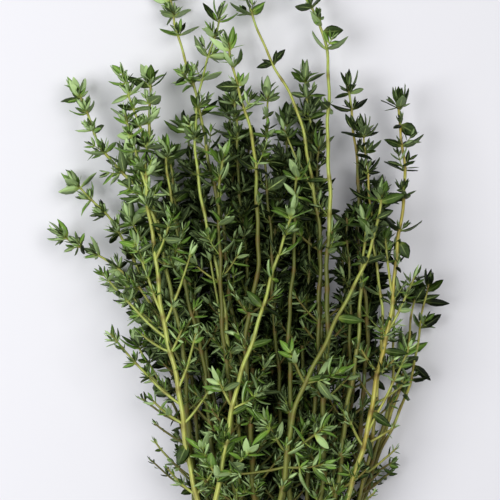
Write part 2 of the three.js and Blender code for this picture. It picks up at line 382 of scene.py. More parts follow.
@dataclass(frozen=True)
class StemFinish:
    """The look of thyme stems: yellow green, brown at the joints, pale where they are cut, with painted
    shade and painted highlights.
    """

    painted_shade: Colour = colour(52, 58, 12)  # The colour of painted shade on stems deep in the bundle
    young: Colour = colour(160, 188, 78)  # Side shoots and tips
    old: Colour = colour(216, 224, 120)  # Lower stems
    gold: Colour = colour(200, 176, 58)  # Stems that have turned woody
    fibre_and_highlight: Colour = colour(252, 254, 206)  # The pale raised fibres along a stem, partly their own colour and partly a painted highlight
    groove: Colour = colour(96, 104, 40)  # The painted shade in the hollow sides between a stem's four ridges
    joint: Colour = colour(104, 78, 34)  # The ring at a joint, and the blush of older stems
    pith: Colour = colour(214, 218, 170)  # The cut end
    gilding: Pair = (0.2, 0.6)  # From which to which value of the patches stems turn woody
    shading: Pair = (0.52, 0.18)  # From which to which painted light they turn to their painted shade colour
    shade: float = 0.85  # How fully they do
    grooving: float = 0.45  # How strongly that painted shade shows
    ringing: float = 0.7  # How brown the rings at the joints are
    blushing: Pair = (0.35, 0.7)  # From which to which value of the patches stems blush
    blush: float = 0.8  # How brown they get
    # Which value of the fibres is a streak's edge, and how strongly streaks show, part fibre colour and
    # part painted highlight
    streaking: Pair = (0.42, 0.9)
    fibres: float = 2600.0  # Fibres per metre, round a stem
    stretch: float = 0.12  # How dense their pattern is along +Y, as a share of across
    patches: float = 120.0  # Woody or blushing patches per metre
    relief: float = 0.0001  # How deep the fibres are, in metres

    def material(self) -> bpy.types.Material:
        """Builds the stem material.

        Returns:
            The material. It reads the stem's tone, youth, gold, ridge, joint, blush and cut values.
        """
        shader = Shader("thyme_stem")
        place = shader.place()
        joint = shader.attribute("joint")
        lengthwise = shader.node(
            "ShaderNodeMapping", {}, {"Vector": place, "Scale": (1.0, self.stretch, 1.0)}
        )
        fibres = shader.noise(lengthwise, self.fibres, 3.0)
        patches = shader.noise(place, self.patches, 2.0)
        green = shader.mix(shader.attribute("youth"), self.old, self.young)
        green = shader.mix(shader.attribute("gold") * patches.ramp(*self.gilding), green, self.gold)
        # Pale streaks along the fibres: partly their own colour, partly a painted highlight.
        edge, strength = self.streaking
        green = shader.mix((fibres - edge) * strength, green, self.fibre_and_highlight)
        # Painted shade: where the stem's painted light is low, it turns to the shade colour.
        painted_dimming = shader.attribute("tone").ramp(*self.shading) * self.shade
        green = shader.mix(painted_dimming, green, self.painted_shade)
        # Painted shade in the hollow sides between the ridges.
        green = shader.mix((1.0 - shader.attribute("ridge")) * self.grooving, green, self.groove)
        blush = shader.attribute("blush") * patches.ramp(*self.blushing) * self.blush
        brown = joint * self.ringing + blush
        stem = shader.mix(brown, green, self.joint)
        return shader.finish(
            Base_Color=shader.mix(shader.attribute("cut"), stem, self.pith),
            Roughness=fibres * 0.25 + 0.38,
            Normal=shader.bump(fibres + joint * 0.4, self.relief, 0.5),
            Specular_IOR_Level=0.32,
        )


@dataclass(frozen=True)
class FloorFinish:
    """A plain pale matt surface."""

    pale: Colour = colour(231, 231, 236)  # Its colour
    shade: Colour = colour(221, 221, 230)  # The colour of its faint clouds
    clouds: float = 6.0  # Clouds per metre
    clouding: float = 0.3  # How strongly they show

    def material(self) -> bpy.types.Material:
        """Builds the floor material.

        Returns:
            The material.
        """
        shader = Shader("pale_floor")
        cloud = shader.noise(shader.place(), self.clouds)
        return shader.finish(
            Base_Color=shader.mix(cloud * self.clouding, self.pale, self.shade),
            Roughness=0.9,
            Specular_IOR_Level=0.2,
        )


# ---- The plan of the bundle ------------------------------


class Layer(IntEnum):
    """The layers from which on sprigs look different, counted from the surface up."""

    MIDDLE = 3
    UPPER = 4
    HIGH = 5
    TOP = 6
    SLANTING = 7


@dataclass(frozen=True)
class SprigPlan:
    """Where one sprig lies, seen from above, in millimetres."""

    layer: int  # How many sprigs lie beneath it
    route: tuple[Pair, ...]  # Its stem's points from the cut end to the tip
    reach: float  # The length of its longest ordinary side shoot
    # For each long branch, the y where it leaves the stem, and its end
    branches: tuple[tuple[float, Pair], ...] = ()
    bare: Pair = (0.0, 0.0)  # The stretch of y in which its stem has lost most of its leaves
    # The y from which its stem is bright. Below it, it is painted darker where the bundle is thick, as
    # the shade of the sprigs over it.
    bright_from: float = 200.0
    # For each leaf that stands out: the y where it leaves the stem, its turn to the right off the stem
    # in degrees, its length, and its breadth as a share of a broad leaf's
    marked: tuple[tuple[float, float, float, float], ...] = ()


SPRIGS = (
    SprigPlan(0, ((-10, -150), (-15, -95), (-23, -60), (-36, -32)), 14),
    SprigPlan(0, ((-5, -151), (-12, -80), (-22, -25), (-36, 12)), 15),
    SprigPlan(0, ((0, -150), (0, -90), (0, -30), (0, 40)), 13),
    SprigPlan(0, ((7, -152), (13, -80), (19, -15), (22, 40)), 15),
    SprigPlan(0, ((14, -149), (27, -90), (38, -40), (46, 6)), 16),
    SprigPlan(0, ((22, -151), (38, -98), (50, -62), (57, -34)), 14),
    SprigPlan(1, ((-8, -149), (-13, -100), (-23, -54), (-47, -10)), 18),
    SprigPlan(1, ((-3, -151), (-9, -90), (-18, -30), (-32, 30)), 18),
    SprigPlan(1, ((4, -148), (2, -90), (-3, -20), (-8, 52)), 17),
    SprigPlan(1, ((10, -151), (15, -85), (17, -15), (22, 52)), 17),
    SprigPlan(1, ((17, -149), (30, -88), (41, -30), (47, 22)), 17),
    SprigPlan(1, ((24, -150), (40, -96), (54, -52), (61, -16)), 15),
    SprigPlan(2, ((-12, -151), (-17, -98), (-26, -62), (-41, -33)), 14),
    SprigPlan(2, ((-6, -149), (-14, -88), (-26, -30), (-44, 12)), 18),
    SprigPlan(2, ((1, -150), (-4, -85), (-13, -15), (-24, 46)), 18, bare=(34, 46)),
    SprigPlan(2, ((9, -148), (9, -80), (9, -5), (14, 48)), 17),
    SprigPlan(2, ((17, -151), (29, -85), (37, -25), (41, 28)), 18),
    SprigPlan(
        2,
        ((25, -150), (39, -94), (53, -62), (60, -40), (65, -12)),
        14,
        marked=((-19, 88, 9.0, 0.75), (-42, 118, 8.5, 0.8), (-42, -125, 6.0, 0.5)),
    ),
    SprigPlan(3, ((-10, -150), (-18, -95), (-30, -33), (-46, 4), (-64, 25)), 20),
    SprigPlan(3, ((-3, -151), (-9, -88), (-19, -30), (-30, 34)), 20),
    SprigPlan(3, ((4, -149), (2, -85), (-1, -15), (-6, 56)), 18),
    SprigPlan(3, ((12, -151), (15, -90), (20, -25), (22, 34), (20, 64)), 18),
    SprigPlan(3, ((19, -150), (27, -88), (34, -30), (34, 6)), 18),
    SprigPlan(3, ((25, -149), (38, -93), (47, -70), (51, -47), (53, -18)), 14),
    SprigPlan(4, ((-8, -151), (-15, -92), (-27, -35), (-46, -8), (-69, 6)), 20),
    SprigPlan(4, ((-2, -150), (-8, -90), (-17, -32), (-32, 8), (-44, 34)), 18),
    SprigPlan(4, ((5, -149), (2, -90), (-5, -30), (-13, 25), (-21, 60), (-30, 94)), 20, bare=(62, 77)),
    SprigPlan(4, ((12, -150), (12, -88), (9, -28), (6, 32), (6, 57)), 18),
    SprigPlan(4, ((17, -151), (24, -88), (26, -30), (24, 10), (25, 38)), 18),
    SprigPlan(4, ((21, -148), (36, -86), (42, -38), (39, 8), (38, 42), (36, 60)), 18),
    SprigPlan(5, ((-12, -149), (-20, -92), (-24, -38), (-37, 17), (-54, 38), (-63, 58)), 22),
    SprigPlan(5, ((-4, -150), (-11, -90), (-17, -40), (-27, 8), (-30, 36)), 18, bare=(20, 36)),
    SprigPlan(
        5,
        ((3, -151), (-3, -90), (-6, -44), (-14, 4), (-20, 35), (-17, 62), (-11, 86)),
        18,
        ((-43, (-15, 0)),),
        bare=(5, 38),
        bright_from=-200,
    ),
    SprigPlan(
        5,
        ((13, -149), (20, -90), (25, -18), (23, 22), (17, 49), (8, 69), (-3, 94)),
        18,
        ((20, (12, 44)),),
        bare=(16, 80),
        bright_from=12,
        marked=((68, 75, 6.5, 0.9), (68, -80, 6.5, 0.9), (67, 30, 5.5, 0.8), (67, -35, 5.0, 0.8)),
    ),
    SprigPlan(5, ((19, -150), (29, -90), (36, -40), (35, -8), (35, 12)), 16),
    SprigPlan(5, ((25, -151), (39, -92), (47, -38), (45, 0), (42, 26), (41, 44)), 16),
    SprigPlan(
        6,
        ((-11, -150), (-19, -90), (-27, -43), (-34, -3), (-37, 29), (-36, 62)),
        16,
        (
            (-55, (-50, -30)),
            (-50, (-19, -29)),
            (-32, (-53, -8)),
            (-26, (-21, -1)),
            (-25, (-41, 3)),
            (-4, (-28, 12)),
            (21, (-45, 49)),
            (38, (-46, 64)),
        ),
        bare=(-75, 20),
        bright_from=-200,
        marked=((-69, -150, 8.5, 1.25), (-2, 50, 7.0, 1.2)),
    ),
    SprigPlan(6, ((-2, -148), (-5, -90), (-8, -42), (-11, -5), (-10, 34)), 16),
    SprigPlan(6, ((8, -151), (2, -90), (-1, -30), (3, 0), (1, 36), (-8, 75)), 16),
    SprigPlan(6, ((12, -150), (14, -90), (14, -40), (15, -5), (17, 28)), 16),
    SprigPlan(
        6,
        ((16, -149), (25, -90), (27, -36), (28, 14), (28, 60), (26, 81), (18, 96)),
        12,
        bare=(12, 76),
        bright_from=8,
        marked=((79, 95, 7.5, 1.3),),
    ),
    SprigPlan(6, ((20, -149), (30, -90), (36, -48), (40, -12), (41, 12)), 14),
    SprigPlan(
        6,
        ((24, -150), (34, -94), (44, -54), (51, -14), (55, 22), (54, 54)),
        14,
        ((-68, (57, -34)), (-30, (59, -9)), (-16, (48, 4))),
        bright_from=-200,
        marked=(
            (45, 125, 6.8, 1.6),
            (3, 150, 7.0, 1.5),
            (-36, 92, 9.0, 0.8),
            (-58, 110, 9.0, 0.85),
            (-66, 148, 9.5, 0.6),
        ),
    ),
    SprigPlan(
        7,
        ((-9, -149), (-12, -90), (-5, -52), (2, -27), (10, -3), (15, 14)),
        18,
        bare=(-62, -30),
        bright_from=-200,
        marked=(
            (-58, 45, 8.0, 0.7),
            (-20, -60, 8.0, 1.0),
            (-34, 55, 8.5, 0.8),
            (-72, -12, 8.5, 1.1),
            (-74, 24, 8.0, 1.1),
        ),
    ),
    SprigPlan(
        7,
        ((6, -150), (10, -94), (17, -54), (28, -29), (40, -7), (47, 20)),
        18,
        ((-77, (-7, -79)), (-77, (26, -76))),
        bare=(-40, 0),
        bright_from=6,
        marked=((-24, 65, 9.5, 0.9), (-46, 55, 9.0, 0.6), (6, -60, 8.0, 1.1)),
    ),
)


@dataclass(frozen=True)
class Pile:
    """How the layers of sprigs lie on each other, in millimetres."""

    middle: float = 4.6  # The thickness of a layer in the middle of the pile
    foot: float = 2.4  # The thickness of a layer at the cut ends
    tips: float = 1.5  # The thickness of a layer at the tips
    x: float = 5.0  # The middle of the pile
    y: float = -15.0  # The middle of the pile
    half_width: float = 65.0  # Half its width
    to_foot: float = 135.0  # From its middle to the cut ends
    to_tips: float = 115.0  # From its middle to the tips
    droop: float = 0.4  # How much of its height it loses at its sides
    core: float = 0.75  # Half the width of its crowded part, as a share of half its width
    core_y: float = 20.0  # How far its crowded part is below its middle
    core_length: float = 85.0  # How far its crowded part reaches towards the tips
    # A narrow gap between the leaves: its middle x and y, half its width and half its length
    gap: tuple[float, float, float, float] = (33.4, 29.0, 5.0, 16.0)

    def in_gap(self, place: Vector) -> bool:
        """Tells whether a place on the plan is in the gap."""
        x, y, half_width, half_length = self.gap
        return math.hypot((place.x - x) / half_width, (place.y - y) / half_length) < 1.0

    def height(self, layer: int, x: float, y: float) -> float:
        """Says how high the underside of a stem lies.

        Args:
            layer: The stem's layer.
            x: The place across the bundle.
            y: The place along the bundle.

        Returns:
            The height over the surface.
        """
        reach, end = (self.to_foot, self.foot) if y < self.y else (self.to_tips, self.tips)
        along = min(1.0, abs(y - self.y) / reach)
        across = (x - self.x) / self.half_width
        thickness = end + (self.middle - end) * (1.0 - along * along) ** 2
        return layer * thickness * (1.0 - self.droop * across * across)

    def crowding(self, x: float, y: float) -> float:
        """Says how deep inside the bundle a place on the plan is.

        Args:
            x: The place across the bundle.
            y: The place along the bundle.

        Returns:
            A share from 0 outside to 1 in the middle.
        """
        across = (x - self.x) / (self.half_width * self.core)
        along = (y - self.y + self.core_y) / self.core_length
        return max(0.0, 1.0 - across**4 - max(0.0, along) ** 4)


PILE = Pile()


class Route:
    """A line on the plan, measured by its own length."""

    def __init__(self, points: Sequence[Vector]) -> None:
        """Measures a line.

        Args:
            points: Closely spaced points along it.
        """
        self.points = list(points)
        self.marks = [0.0]
        for start, end in zip(self.points, self.points[1:]):
            self.marks.append(self.marks[-1] + (end - start).length)
        self.length = self.marks[-1]

    @classmethod
    def through(cls, corners: Sequence[Pair], steps: int = 40) -> "Route":
        """Makes a smooth line through a few points, spaced by the root of their distances.

        Args:
            corners: The points.
            steps: How many steps each stretch between two points gets.

        Returns:
            The route.
        """
        knots = [Vector((x, y, 0.0)) for x, y in corners]
        knots = [2 * knots[0] - knots[1], *knots, 2 * knots[-1] - knots[-2]]
        points = []
        for i in range(1, len(knots) - 2):
            points += [cls._blend(knots[i - 1 : i + 3], step / steps) for step in range(steps)]
        return cls([*points, knots[-2]])

    @staticmethod
    def _blend(knots: Sequence[Vector], share: float) -> Vector:
        """Finds a point of a centripetal curve between the second and third of four knots.

        Args:
            knots: Four points.
            share: Where between the middle two, from 0 to 1.

        Returns:
            The point.
        """
        times = [0.0]
        for start, end in zip(knots, knots[1:]):
            times.append(times[-1] + math.sqrt((end - start).length))
        moment = times[1] + share * (times[2] - times[1])
        spans = list(zip(times, times[1:]))
        row = list(knots)
        for width in (1, 2):
            row = [
                row[i].lerp(row[i + 1], (moment - times[i]) / (times[i + width] - times[i]))
                for i in range(len(row) - 1)
            ]
        start, end = spans[1]
        return row[0].lerp(row[1], (moment - start) / (end - start))

    @classmethod
    def bowed(cls, start: Vector, control: Vector, end: Vector, steps: int = 24) -> "Route":
        """Makes a line from start to end in some steps, bent towards control."""
        shares = [step / steps for step in range(steps + 1)]
        return cls([start.lerp(control, t).lerp(control.lerp(end, t), t) for t in shares])

    def at(self, share: float) -> tuple[Vector, Vector]:
        """Finds a place on the line.

        Args:
            share: How far along it, from 0 to 1.

        Returns:
            The point, and the direction of the line there.
        """
        mark = share * self.length
        i = min(max(bisect.bisect_right(self.marks, mark) - 1, 0), len(self.points) - 2)
        start, end = self.points[i], self.points[i + 1]
        part = (mark - self.marks[i]) / max(self.marks[i + 1] - self.marks[i], 1e-9)
        return start.lerp(end, part), (end - start).normalized()


@dataclass(frozen=True)
class StemSize:
    """How thick a stem is, as half of its width in millimetres."""

    foot: float  # At its foot
    tip: float  # At its tip


MAIN_STEM = StemSize(0.95, 0.4)
SHOOT = StemSize(0.48, 0.28)
TWIG = StemSize(0.24, 0.16)


@dataclass
class Stem:
    """A stem or side shoot, with its centre line in space."""

    route: Route  # Its line on the plan
    layer: int  # The layer it lies in
    size: StemSize  # How thick it is
    lift: float = 0.0  # How far its tip is raised off its layer, in millimetres
    # How far its joints are from its tip, in millimetres
    joints: list[float] = field(default_factory=list)

    @property
    def is_main(self) -> bool:
        """Tells whether it is a sprig's main stem."""
        return self.size is MAIN_STEM

    def half_width(self, share: float) -> float:
        """Returns half the stem's thickness at a share of its length."""
        return self.size.foot + (self.size.tip - self.size.foot) * share**2

    def at(self, share: float) -> tuple[Vector, Vector]:
        """Finds a place on the centre line.

        Args:
            share: How far along it, from 0 to 1.

        Returns:
            The point and the level direction of the stem there.
        """
        point, along = self.route.at(share)
        point = point.copy()
        point.z = self.half_width(share) + PILE.height(self.layer, point.x, point.y) + self.lift * share
        return point, along


class LeafKind(Enum):
    """The shapes that leaves come in. The plain ones have fewer faces, for sprigs that others cover."""

    LONG = 0
    FOLDED = 1
    BROAD = 2
    CURLED = 3
    PLAIN_LONG = 4
    PLAIN_FOLDED = 5
    PLAIN_BROAD = 6
    PLAIN_CURLED = 7
    SMALL = 8
    SMALL_FOLDED = 9


GROWN_KINDS = (LeafKind.LONG, LeafKind.FOLDED, LeafKind.BROAD, LeafKind.CURLED)
PLAIN_KINDS = (
    LeafKind.PLAIN_LONG,
    LeafKind.PLAIN_FOLDED,
    LeafKind.PLAIN_BROAD,
    LeafKind.PLAIN_CURLED,
)
# How often each shape of a grown leaf comes up, and how often it does on the top sprigs.
KIND_WEIGHTS = (34, 30, 12, 24)
TOP_KIND_WEIGHTS = (28, 24, 26, 22)
SMALL_KINDS = (LeafKind.SMALL, LeafKind.SMALL_FOLDED)


@dataclass
class Leaf:
    """One leaf, in millimetres."""

    point: Vector  # Where it leaves the stem
    direction: Vector  # Where it points
    face: Vector  # Where its upper side looks
    length: float  # Its length
    breadth: float  # Its width as a share of the usual width
    tone: float  # Its painted light and shade, from 0 to 1
    youth: float  # How fresh it is, from 0 to 1
    kind: LeafKind  # Which leaf shape it has


@dataclass
class Twig:
    """A short twig in the axil of a leaf, in millimetres."""

    foot: Vector  # Where it leaves the stem
    bend: Vector  # Its middle
    tip: Vector  # Its tip


# Painted light of each layer's sprigs, darker lower down as painted shade, and how far one sprig can be
# off that at random.
PAINTED_LAYER_LIGHT = (0.0, 0.0, 0.0, 0.04, 0.12, 0.26, 0.44, 0.66)
TONE_RANGE = 0.08


def spread(n: int) -> float:
    """Returns evenly spread numbers from 0 to 1 that look unordered."""
    return (abs(n) * GOLDEN) % 1.0


# ---- Growing a sprig -------------------------------------


@dataclass(frozen=True)
class Span:
    """A value that grows evenly from a start."""

    start: float  # Its start
    growth: float  # How much it grows over a share of 1, or over a millimetre
    most: float = math.inf  # The most it grows to

    def at(self, place: float) -> float:
        """Returns the value at a share or a distance."""
        return min(self.most, self.start + self.growth * place)


@dataclass(frozen=True)
class Cover:
    """Where the bundle is leafy or bare, seen from above. Lengths are millimetres."""

    axis: float = 9.0  # The x of the middle of its feet
    crown: float = -30.0  # The y above which it is at its thickest
    thinning: float = -45.0  # The y below which its sides are thin
    ankle: float = -62.0  # The y below which its stems run together
    feet: float = -80.0  # The y above which the lower sprigs have twice the twigs near the axis
    left: float = -20.0  # The x left of which the crown has twice the twigs
    right: float = 52.0  # The x right of which the lower sprigs are bare
    leafy: Pair = (18.0, 28.0)  # Half its leafy width, above and below the ankle
    # Half the width in which joints have twice the twigs, above and below the ankle
    bushy: Pair = (22.0, 30.0)
    bare: float = 0.7  # How likely a joint in a bare stretch has lost its leaves
    # How likely it has below the ankle, within the leafy width and outside it
    bare_feet: Pair = (0.3, 0.9)
    worn: Pair = (0.4, 0.22)  # How likely it has on a high sprig, in the crown and below it
    crowded: float = 0.6  # How deep inside the bundle the lowest sprigs have extra twigs

    def aside(self, point: Vector) -> float:
        """Returns how far a place is from the axis."""
        return abs(point.x - self.axis)

    def is_within(self, widths: Pair, point: Vector) -> bool:
        """Tells whether a place is nearer to the axis than a width, given above and below the ankle."""
        return self.aside(point) < widths[0 if point.y > self.ankle else 1]


COVER = Cover()


@dataclass(frozen=True)
class Patch:
    """A stretch of the bundle, seen from above, in which leaves differ. Lengths are millimetres."""

    change: float  # By how much they differ
    x: Pair = (-math.inf, math.inf)  # Where it is across the bundle
    y: Pair = (-math.inf, math.inf)  # Where it is along the bundle
    aside: float = -1.0  # How far off the axis it starts
    layer: int = 0  # The lowest layer it holds for

    def holds(self, layer: int, point: Vector) -> bool:
        """Tells whether a place in a layer is in the patch."""
        inside = self.x[0] < point.x < self.x[1] and self.y[0] < point.y < self.y[1]
        return inside and layer >= self.layer and COVER.aside(point) > self.aside


@dataclass(frozen=True)
class Habit:
    """How thyme grows. Lengths are millimetres, angles are degrees, ranges are from and to."""

    first_joint: float = 3.0  # From the tip to the first full joint
    first_gap: float = 6.0  # Between the first two joints
    widening: float = 1.4  # How much wider each gap is than the one before it
    widest_gap: float = 13.0  # The widest gap between joints
    leafy_from: float = -96.0  # The y below which stems are bare
    # How far from the tip the pairs of a tip's rosette are
    rosette: tuple[float, ...] = (0.2, 0.7, 1.3, 2.1)
    doubled_from: int = 2  # From which joint on the lowest sprigs have twice as many of them
    # How far from the tip of a side shoot its joints are
    shoot_joints: tuple[float, ...] = (0.2, 0.8, 1.7, 4.0, 8.5, 14.0, 20.5, 28.0, 36.0)
    shoot_foot: float = 0.9  # Where on a side shoot its joints end, as a share
    shortest_shoot: float = 10.0  # Shoots shorter than this stay twigs
    shoot_taper: float = 1.5  # How quickly side shoots get longer from the stem's tip down
    shoot_length: Span = Span(0.8, 0.4)  # A side shoot's length, as a share
    shoot_angle: Span = Span(34, 16)  # A side shoot's angle off the stem
    shoot_bow: float = 0.1  # How far a side shoot is bowed, as a share of its length
    shoot_lift: float = 1.5  # How far the tip of a side shoot is raised, at most
    branch_lift: float = 2.0  # How far the tip of a long branch is raised
    kept_tip: float = 5.0  # The length of a stem, from its tip, that never loses its leaves
    leaf: float = 8.8  # The length of a grown leaf
    tip_leaf: float = 0.62  # The length of a leaf right at the tip, as a share
    growing: float = 7.0  # Over how long a stretch leaves would grow by their full length
    shoot_leaf: float = 0.84  # The length of a side shoot's leaf, as a share
    lower_loss: float = 0.3  # How much shorter leaves get towards the feet, as a share
    lower_from: float = 5.0  # The y below which they get shorter
    lower_span: float = 35.0  # Over how long a stretch they do
    # Where leaves are longer or shorter, as a factor
    patches: tuple[Patch, ...] = (
        Patch(0.62, y=(-math.inf, -60.0), aside=26.0),
        Patch(1.2, x=(-50.0, -32.0), y=(5.0, 40.0)),
    )
    uneven: Pair = (0.8, 1.15)  # How uneven the lengths of leaves are
    fresh: float = 0.7  # How fresh leaves at the tip are
    fresh_span: float = 22.0  # Over how long a stretch they get less fresh
    fresher: Pair = (0.0, 0.3)  # How much fresher any leaf can be
    crosswise: float = 4.0  # How far from the tip pairs stand crosswise
    crossing: Pair = (-25, 25)  # How far those are turned off their cross
    lying: Pair = (-60, 60)  # How far later pairs are turned out of the level
    lying_share: float = 0.75  # The share of later pairs that lie so
    standing: Pair = (60, 120)  # How far the others are turned
    # The angle of a leaf off its stem, by its distance from the tip
    opening: Span = Span(15.0, 14.0, 70.0)
    turning: Pair = (-9, 9)  # How far a leaf is turned off its partner
    leaning: Pair = (-14, 14)  # How far it leans off the angle of its pair
    tufts_from: float = 2.9  # From how far off the tip joints have tufts
    between: Pair = (50, 130)  # How far extra tufts are turned off a leaf

    def main_joints(self, length: float) -> list[float]:
        """Lists the joints of a main stem.

        Args:
            length: The stem's length.

        Returns:
            How far they are from the tip.
        """
        joints, rest, gap = [], self.first_joint, self.first_gap
        while rest < length:
            joints.append(rest)
            rest += gap
            gap = min(self.widest_gap, gap + self.widening)
        return joints

    def leaf_length(self, stem: Stem, point: Vector, rest: float) -> float:
        """Says how long the leaves of a joint are.

        Args:
            stem: The joint's stem.
            point: The joint.
            rest: How far it is from the tip.

        Returns:
            The length, as a share of a grown leaf's.
        """
        full = stem.is_main or stem.layer >= Layer.SLANTING
        grown = min(1.0, self.tip_leaf + rest / self.growing) * (1.0 if full else self.shoot_leaf)
        if Layer.MIDDLE <= stem.layer < Layer.SLANTING:
            below = min(1.0, max(0.0, (self.lower_from - point.y) / self.lower_span))
            grown *= 1.0 - self.lower_loss * below
        for patch in self.patches:
            if patch.holds(stem.layer, point):
                grown *= patch.change
        return grown


HABIT = Habit()


@dataclass(frozen=True)
class TuftHabit:
    """How the tufts in the axils of leaves grow. Lengths are millimetres, angles are degrees."""

    shortest: float = 1.2  # The shortest twig of a main stem
    # How much longer it can be, by the joint's distance from the tip
    longer: Span = Span(2.0, 0.14, 9.0)
    shy: float = 0.5  # What is left of that at the thin sides, as a share
    rarity: float = 1.4  # How rare long twigs are. At 1, all lengths are as likely.
    leaf: float = 5.6  # The longest leaf of a tuft
    bushy_leaf: float = 6.2  # The longest leaf where joints have twice the twigs
    missing: float = 0.2  # The share of a side shoot's axils that are empty
    shoot_twig: Span = Span(0.6, 2.2)  # The length of a twig of a side shoot
    shoot_leaf: float = 4.4  # The longest leaf of a tuft of a side shoot
    angle: Pair = (20, 48)  # The angle of a twig off its stem, from and to
    sag: float = 0.06  # How far a twig's middle is bent back, as a share of its length
    # How far from the twig's tip its pairs of leaves are
    pairs: tuple[float, ...] = (0.2, 1.0, 2.4, 4.6, 7.4, 10.4)
    always: int = 2  # How many pairs even the shortest twig has
    lowest: float = 0.92  # Where on a twig further pairs end, as a share from its tip
    foot: float = 0.9  # Where on a twig its lowest pair may be, as a share from its tip
    quarter: float = 90  # How far a pair is turned off the one before it, give or take a crossing
    opening: Span = Span(18, 16, 66)  # The angle of a leaf off the twig, by its distance from the tip
    leaning: Pair = (-12, 12)  # How far a leaf leans off that, from and to
    leaf_length: Span = Span(3.1, 1.1)  # The length of a leaf, by its distance from the tip
    youth: Span = Span(0.3, 0.5)  # How fresh a leaf is, by a draw


TUFTS = TuftHabit()


@dataclass(frozen=True)
class LeafLook:
    """How leaves are turned, how broad they are and how much painted light and shade they get. Ranges
    are from and to.
    """

    clearance: float = 0.3  # How high over the surface a leaf's tip is kept, in millimetres
    twist: float = 32  # How unevenly leaves are turned about their length, in degrees
    edge_on: float = 0.05  # A leaf that points this nearly along its stem faces up
    level: float = 0.24  # The share of leaves that are turned level
    upwards: float = 0.62  # The share of those that show their upper side
    levelling: Pair = (0.4, 0.9)  # How far those are turned
    breadth: Pair = (0.82, 1.15)  # How broad leaves are
    # The share of the upper sprigs' leaves that are narrow, in the bundle's lower half
    narrow: float = 0.7
    narrow_breadth: float = 0.65  # How broad those are
    # How much broader the lowest sprigs' leaves are, by how deep inside they are
    lower_breadth: Span = Span(1.2, 0.4)
    rim: float = 0.4  # How much painted light leaves outside the bundle get
    rim_fall: float = 0.005  # How much less that gets per millimetre to the right
    fall: float = 170.0  # Over how many millimetres to the right the painted light on leaves falls by 1, on the left
    right_fall: float = 160.0  # The same on the right
    low_fall: float = 500.0  # The same on the right, low down
    low: float = -20.0  # The y below which that is
    # Where leaves get more painted light, or painted shade where the change is below 0
    patches: tuple[Patch, ...] = (
        Patch(0.2, y=(-math.inf, -68.0), layer=Layer.UPPER),
        Patch(0.4, x=(50.0, math.inf), y=(-math.inf, -24.0)),
        Patch(-0.15, x=(30.0, math.inf), y=(0.0, math.inf)),
    )
    deep: float = 0.5  # How deep inside the bundle the lower sprigs' leaves are in shade
    deep_light: float = 0.7  # What light those keep, as a share
    spots: float = 0.1  # How much painted light single leaves catch, per layer
    spot_rarity: int = 4  # How rare those are
    painted_shade: float = 0.38  # The share of leaves that lie in the shade of others
    shade: Pair = (0.0, 0.4)  # What light those keep
    lit: Pair = (0.7, 1.5)  # What light the others have
    middle: float = 0.6  # Where a leaf's middle is, as a share of its length
    marked_rise: float = 0.25  # How far a leaf that stands out rises, as a share of its length
    marked_roll: float = 0.3  # How far it is rolled to its side
    marked_tone: float = 0.6  # Its painted light, as a share of its sprig's
    marked_youth: float = 0.4  # How fresh it is

    def light(self, sprig_light: float, layer: int, point: Vector) -> float:
        """Says how much painted light leaves get where they grow.

        Args:
            sprig_light: The painted light of their sprig.
            layer: Its layer.
            point: Where they leave their stem.

        Returns:
            Their light, before single leaves differ.
        """
        inside = PILE.crowding(point.x, point.y)
        fall = self.fall
        if point.x >= 0.0:
            fall = self.right_fall if point.y > self.low else self.low_fall
        rim = (self.rim - self.rim_fall * max(0.0, point.x)) * (1.0 - inside)
        light = sprig_light + rim - point.x / fall
        for patch in self.patches:
            if patch.holds(layer, point):
                light += patch.change
        return light * (self.deep_light if layer < Layer.HIGH and inside > self.deep else 1.0)


LOOK = LeafLook()


